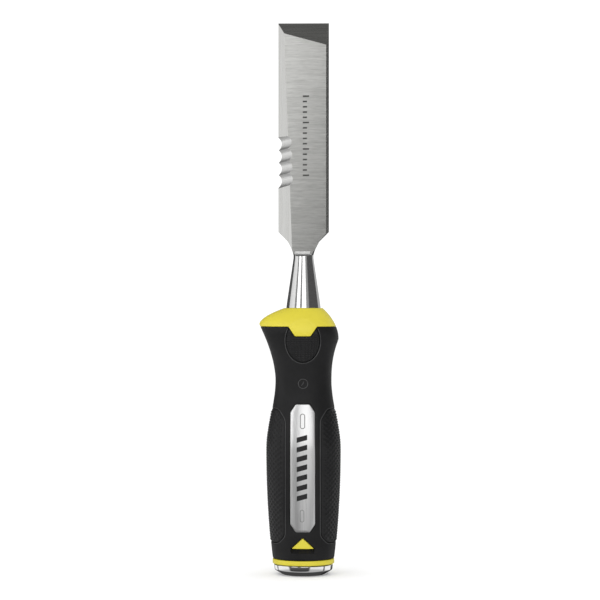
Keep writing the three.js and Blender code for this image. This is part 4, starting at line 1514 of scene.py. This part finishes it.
# %% The camera
CAMERA = {"distance": 1.1, "azimuth": math.radians(1.6), "height": 0.13506, "across": -0.00173}
LENS = {"focal": 133.85, "sensor": 36, "reach": 30}
camera_data = bpy.data.cameras.new("camera")
camera_data.lens = LENS["focal"]
camera_data.sensor_width = LENS["sensor"]
camera_data.clip_end = LENS["reach"]
camera = bpy.data.objects.new("camera", camera_data)
bpy.context.scene.collection.objects.link(camera)
sight = Vector((-math.sin(CAMERA["azimuth"]), math.cos(CAMERA["azimuth"]), 0))
right = Vector((math.cos(CAMERA["azimuth"]), math.sin(CAMERA["azimuth"]), 0))
camera.location = right * CAMERA["across"] - sight * CAMERA["distance"] + Vector((0, 0, CAMERA["height"]))
camera.rotation_euler = (math.pi / 2, 0, CAMERA["azimuth"])
bpy.context.scene.camera = camera

# %% [markdown]
# ## Studio
# Polished steel shows the room more than itself, so the room is the finish. Two tall softboxes
# stand left of the camera and beside it, a dim card stands on the right, a broad pale wall on the
# left and a dim card behind. The background and floor are plain white.

# %% Softboxes
BOX_BOTTOM, SPLIT, BOX_TOP = -0.15, 0.08, 0.85  # metres above the floor


def softbox(name, azimuth, height, distance, size, brightness):
    """A soft upright light that faces the tool. Brightness is what a mirror would show of it."""
    data = bpy.data.lights.new(name, "AREA")
    data.shape = "RECTANGLE"
    data.size, data.size_y = size
    data.energy = brightness * math.pi * size[0] * size[1]
    light = bpy.data.objects.new(name, data)
    bpy.context.scene.collection.objects.link(light)
    a = math.radians(azimuth)
    back = Vector((math.sin(a), -math.cos(a), 0))
    light.location = back * distance + Vector((0, 0, height))
    light.rotation_euler = back.to_track_quat("Z", "Y").to_euler()
    light.visible_camera = False


def tall_box(name, azimuth, distance, width, low, high):
    """Two softboxes one above the other, with their own brightness."""
    tiers = (("low", BOX_BOTTOM, SPLIT, low), ("high", SPLIT, BOX_TOP, high))
    for part, bottom, top, brightness in tiers:
        size = (width, top - bottom)
        softbox(f"{name}_{part}", azimuth, (bottom + top) / 2, distance, size, brightness)


tall_box("left_box", -34.5, 1.0, 0.43, 0.6, 1.45)
tall_box("front_box", 5.5, 1.0, 0.51, 0.6, 1.45)
tall_box("side_card", 30, 1.0, 0.353, 0.21, 0.21)
tall_box("left_wall", -85.5, 1.1, 1.0, 0.5, 0.70)
tall_box("back_card", 150, 1.2, 1.38, 0.42, 0.42)


# %% Room and floor
SOFT_LIGHT = 1.15
DARK, GREY, WHITE = 0.12, 0.5, 1
TO_THE_LEFT, ALMOST_IN_FRONT = (-0.57, -0.82, 0), (-0.26, -0.97, 0)
BEHIND_AND_BELOW = (0, 0.71, -0.71)
SIDE_SHADES = ((0.2, 0.09), (0.5, 0.19), (0.8, 0.3))
UNDER_SHADES = ((0.33, GREY), (0.37, WHITE))
BEHIND_SHADES = ((0.72, WHITE), (0.80, DARK))
DARK_BARS = (
    (0.05, DARK), (0.07, WHITE), (0.315, WHITE), (0.335, DARK),
    (0.375, DARK), (0.395, WHITE), (0.84, WHITE), (0.875, DARK),
)
SHARE_BELOW = ((0.42, 1), (0.49, 0))
FLOOR_SHADES = ((0.3, 0.90), (0.7, 0.92))
FLOOR_HALF = 9000.0


def greys(stops):
    """Ramp stops from (position, shade) pairs."""
    return [(position, (shade, shade, shade)) for position, shade in stops]


def light_room():
    """White to the eye and for soft light, and a dim graded room for reflections."""
    world = bpy.data.worlds.new("studio")
    world.use_nodes = True
    bpy.context.scene.world = world
    tree = world.node_tree
    base = next(found for found in tree.nodes if found.type == "BACKGROUND")
    output = next(found for found in tree.nodes if found.type == "OUTPUT_WORLD")
    base.inputs["Color"].default_value = (1, 1, 1, 1)
    base.inputs["Strength"].default_value = SOFT_LIGHT
    way = node(tree, "ShaderNodeTexCoord", {})["Generated"]

    def towards(direction):
        """How nearly a direction points one way: 1 straight at it, 0 square to it."""
        return vector_node(tree, "DOT_PRODUCT", {0: way, 1: direction}, "Value")

    def from_minus_one(value):
        """A value between -1 and 1 moved to between 0 and 1."""
        return node(tree, "ShaderNodeMapRange", {"Value": value, "From Min": -1})["Result"]

    def shades(value, stops):
        return ramp(tree, value, greys(stops))

    level = from_minus_one(towards((0, 0, 1)))
    sides = shades(towards(TO_THE_LEFT), SIDE_SHADES)
    under = shades(level, UNDER_SHADES)
    behind = shades(towards(BEHIND_AND_BELOW), BEHIND_SHADES)
    bars = shades(from_minus_one(towards(ALMOST_IN_FRONT)), DARK_BARS)
    below = vector_node(tree, "MULTIPLY", {0: under, 1: behind})
    below = vector_node(tree, "MULTIPLY", {0: below, 1: bars})
    share = shades(level, SHARE_BELOW)
    parts = {"Factor": share, "A": sides, "B": below}
    room = tree.nodes.new("ShaderNodeMix")
    room.data_type = "RGBA"
    for socket, colour in parts.items():
        tree.links.new(colour, room.inputs[socket])
    shown = node(tree, "ShaderNodeBackground", {"Color": room.outputs["Result"]})["Background"]
    glossy = node(tree, "ShaderNodeLightPath", {})["Is Glossy Ray"]
    both = {"Fac": glossy, 1: base.outputs["Background"], 2: shown}
    tree.links.new(node(tree, "ShaderNodeMixShader", both)["Shader"], output.inputs["Surface"])


light_room()
floor_paint, floor_tree, floor_shader = new_finish("white_floor")
floor_shader.inputs["Roughness"].default_value = 0.9
floor_shader.inputs["Specular IOR Level"].default_value = 0.0
floor_colour = ramp(floor_tree, grain(floor_tree, 40, detail=2), greys(FLOOR_SHADES))
floor_tree.links.new(floor_colour, floor_shader.inputs["Base Color"])
corners = [(x * FLOOR_HALF, y * FLOOR_HALF, cap_bottom) for x, y in ((-1, -1), (1, -1), (1, 1), (-1, 1))]
floor = bpy.data.objects.new("floor", mesh_of("floor", corners, [[0, 1, 2, 3]]))
floor.data.materials.append(floor_paint)
bpy.context.scene.collection.objects.link(floor)
floor.visible_glossy = False
bpy.context.scene.view_settings.view_transform = "Standard"
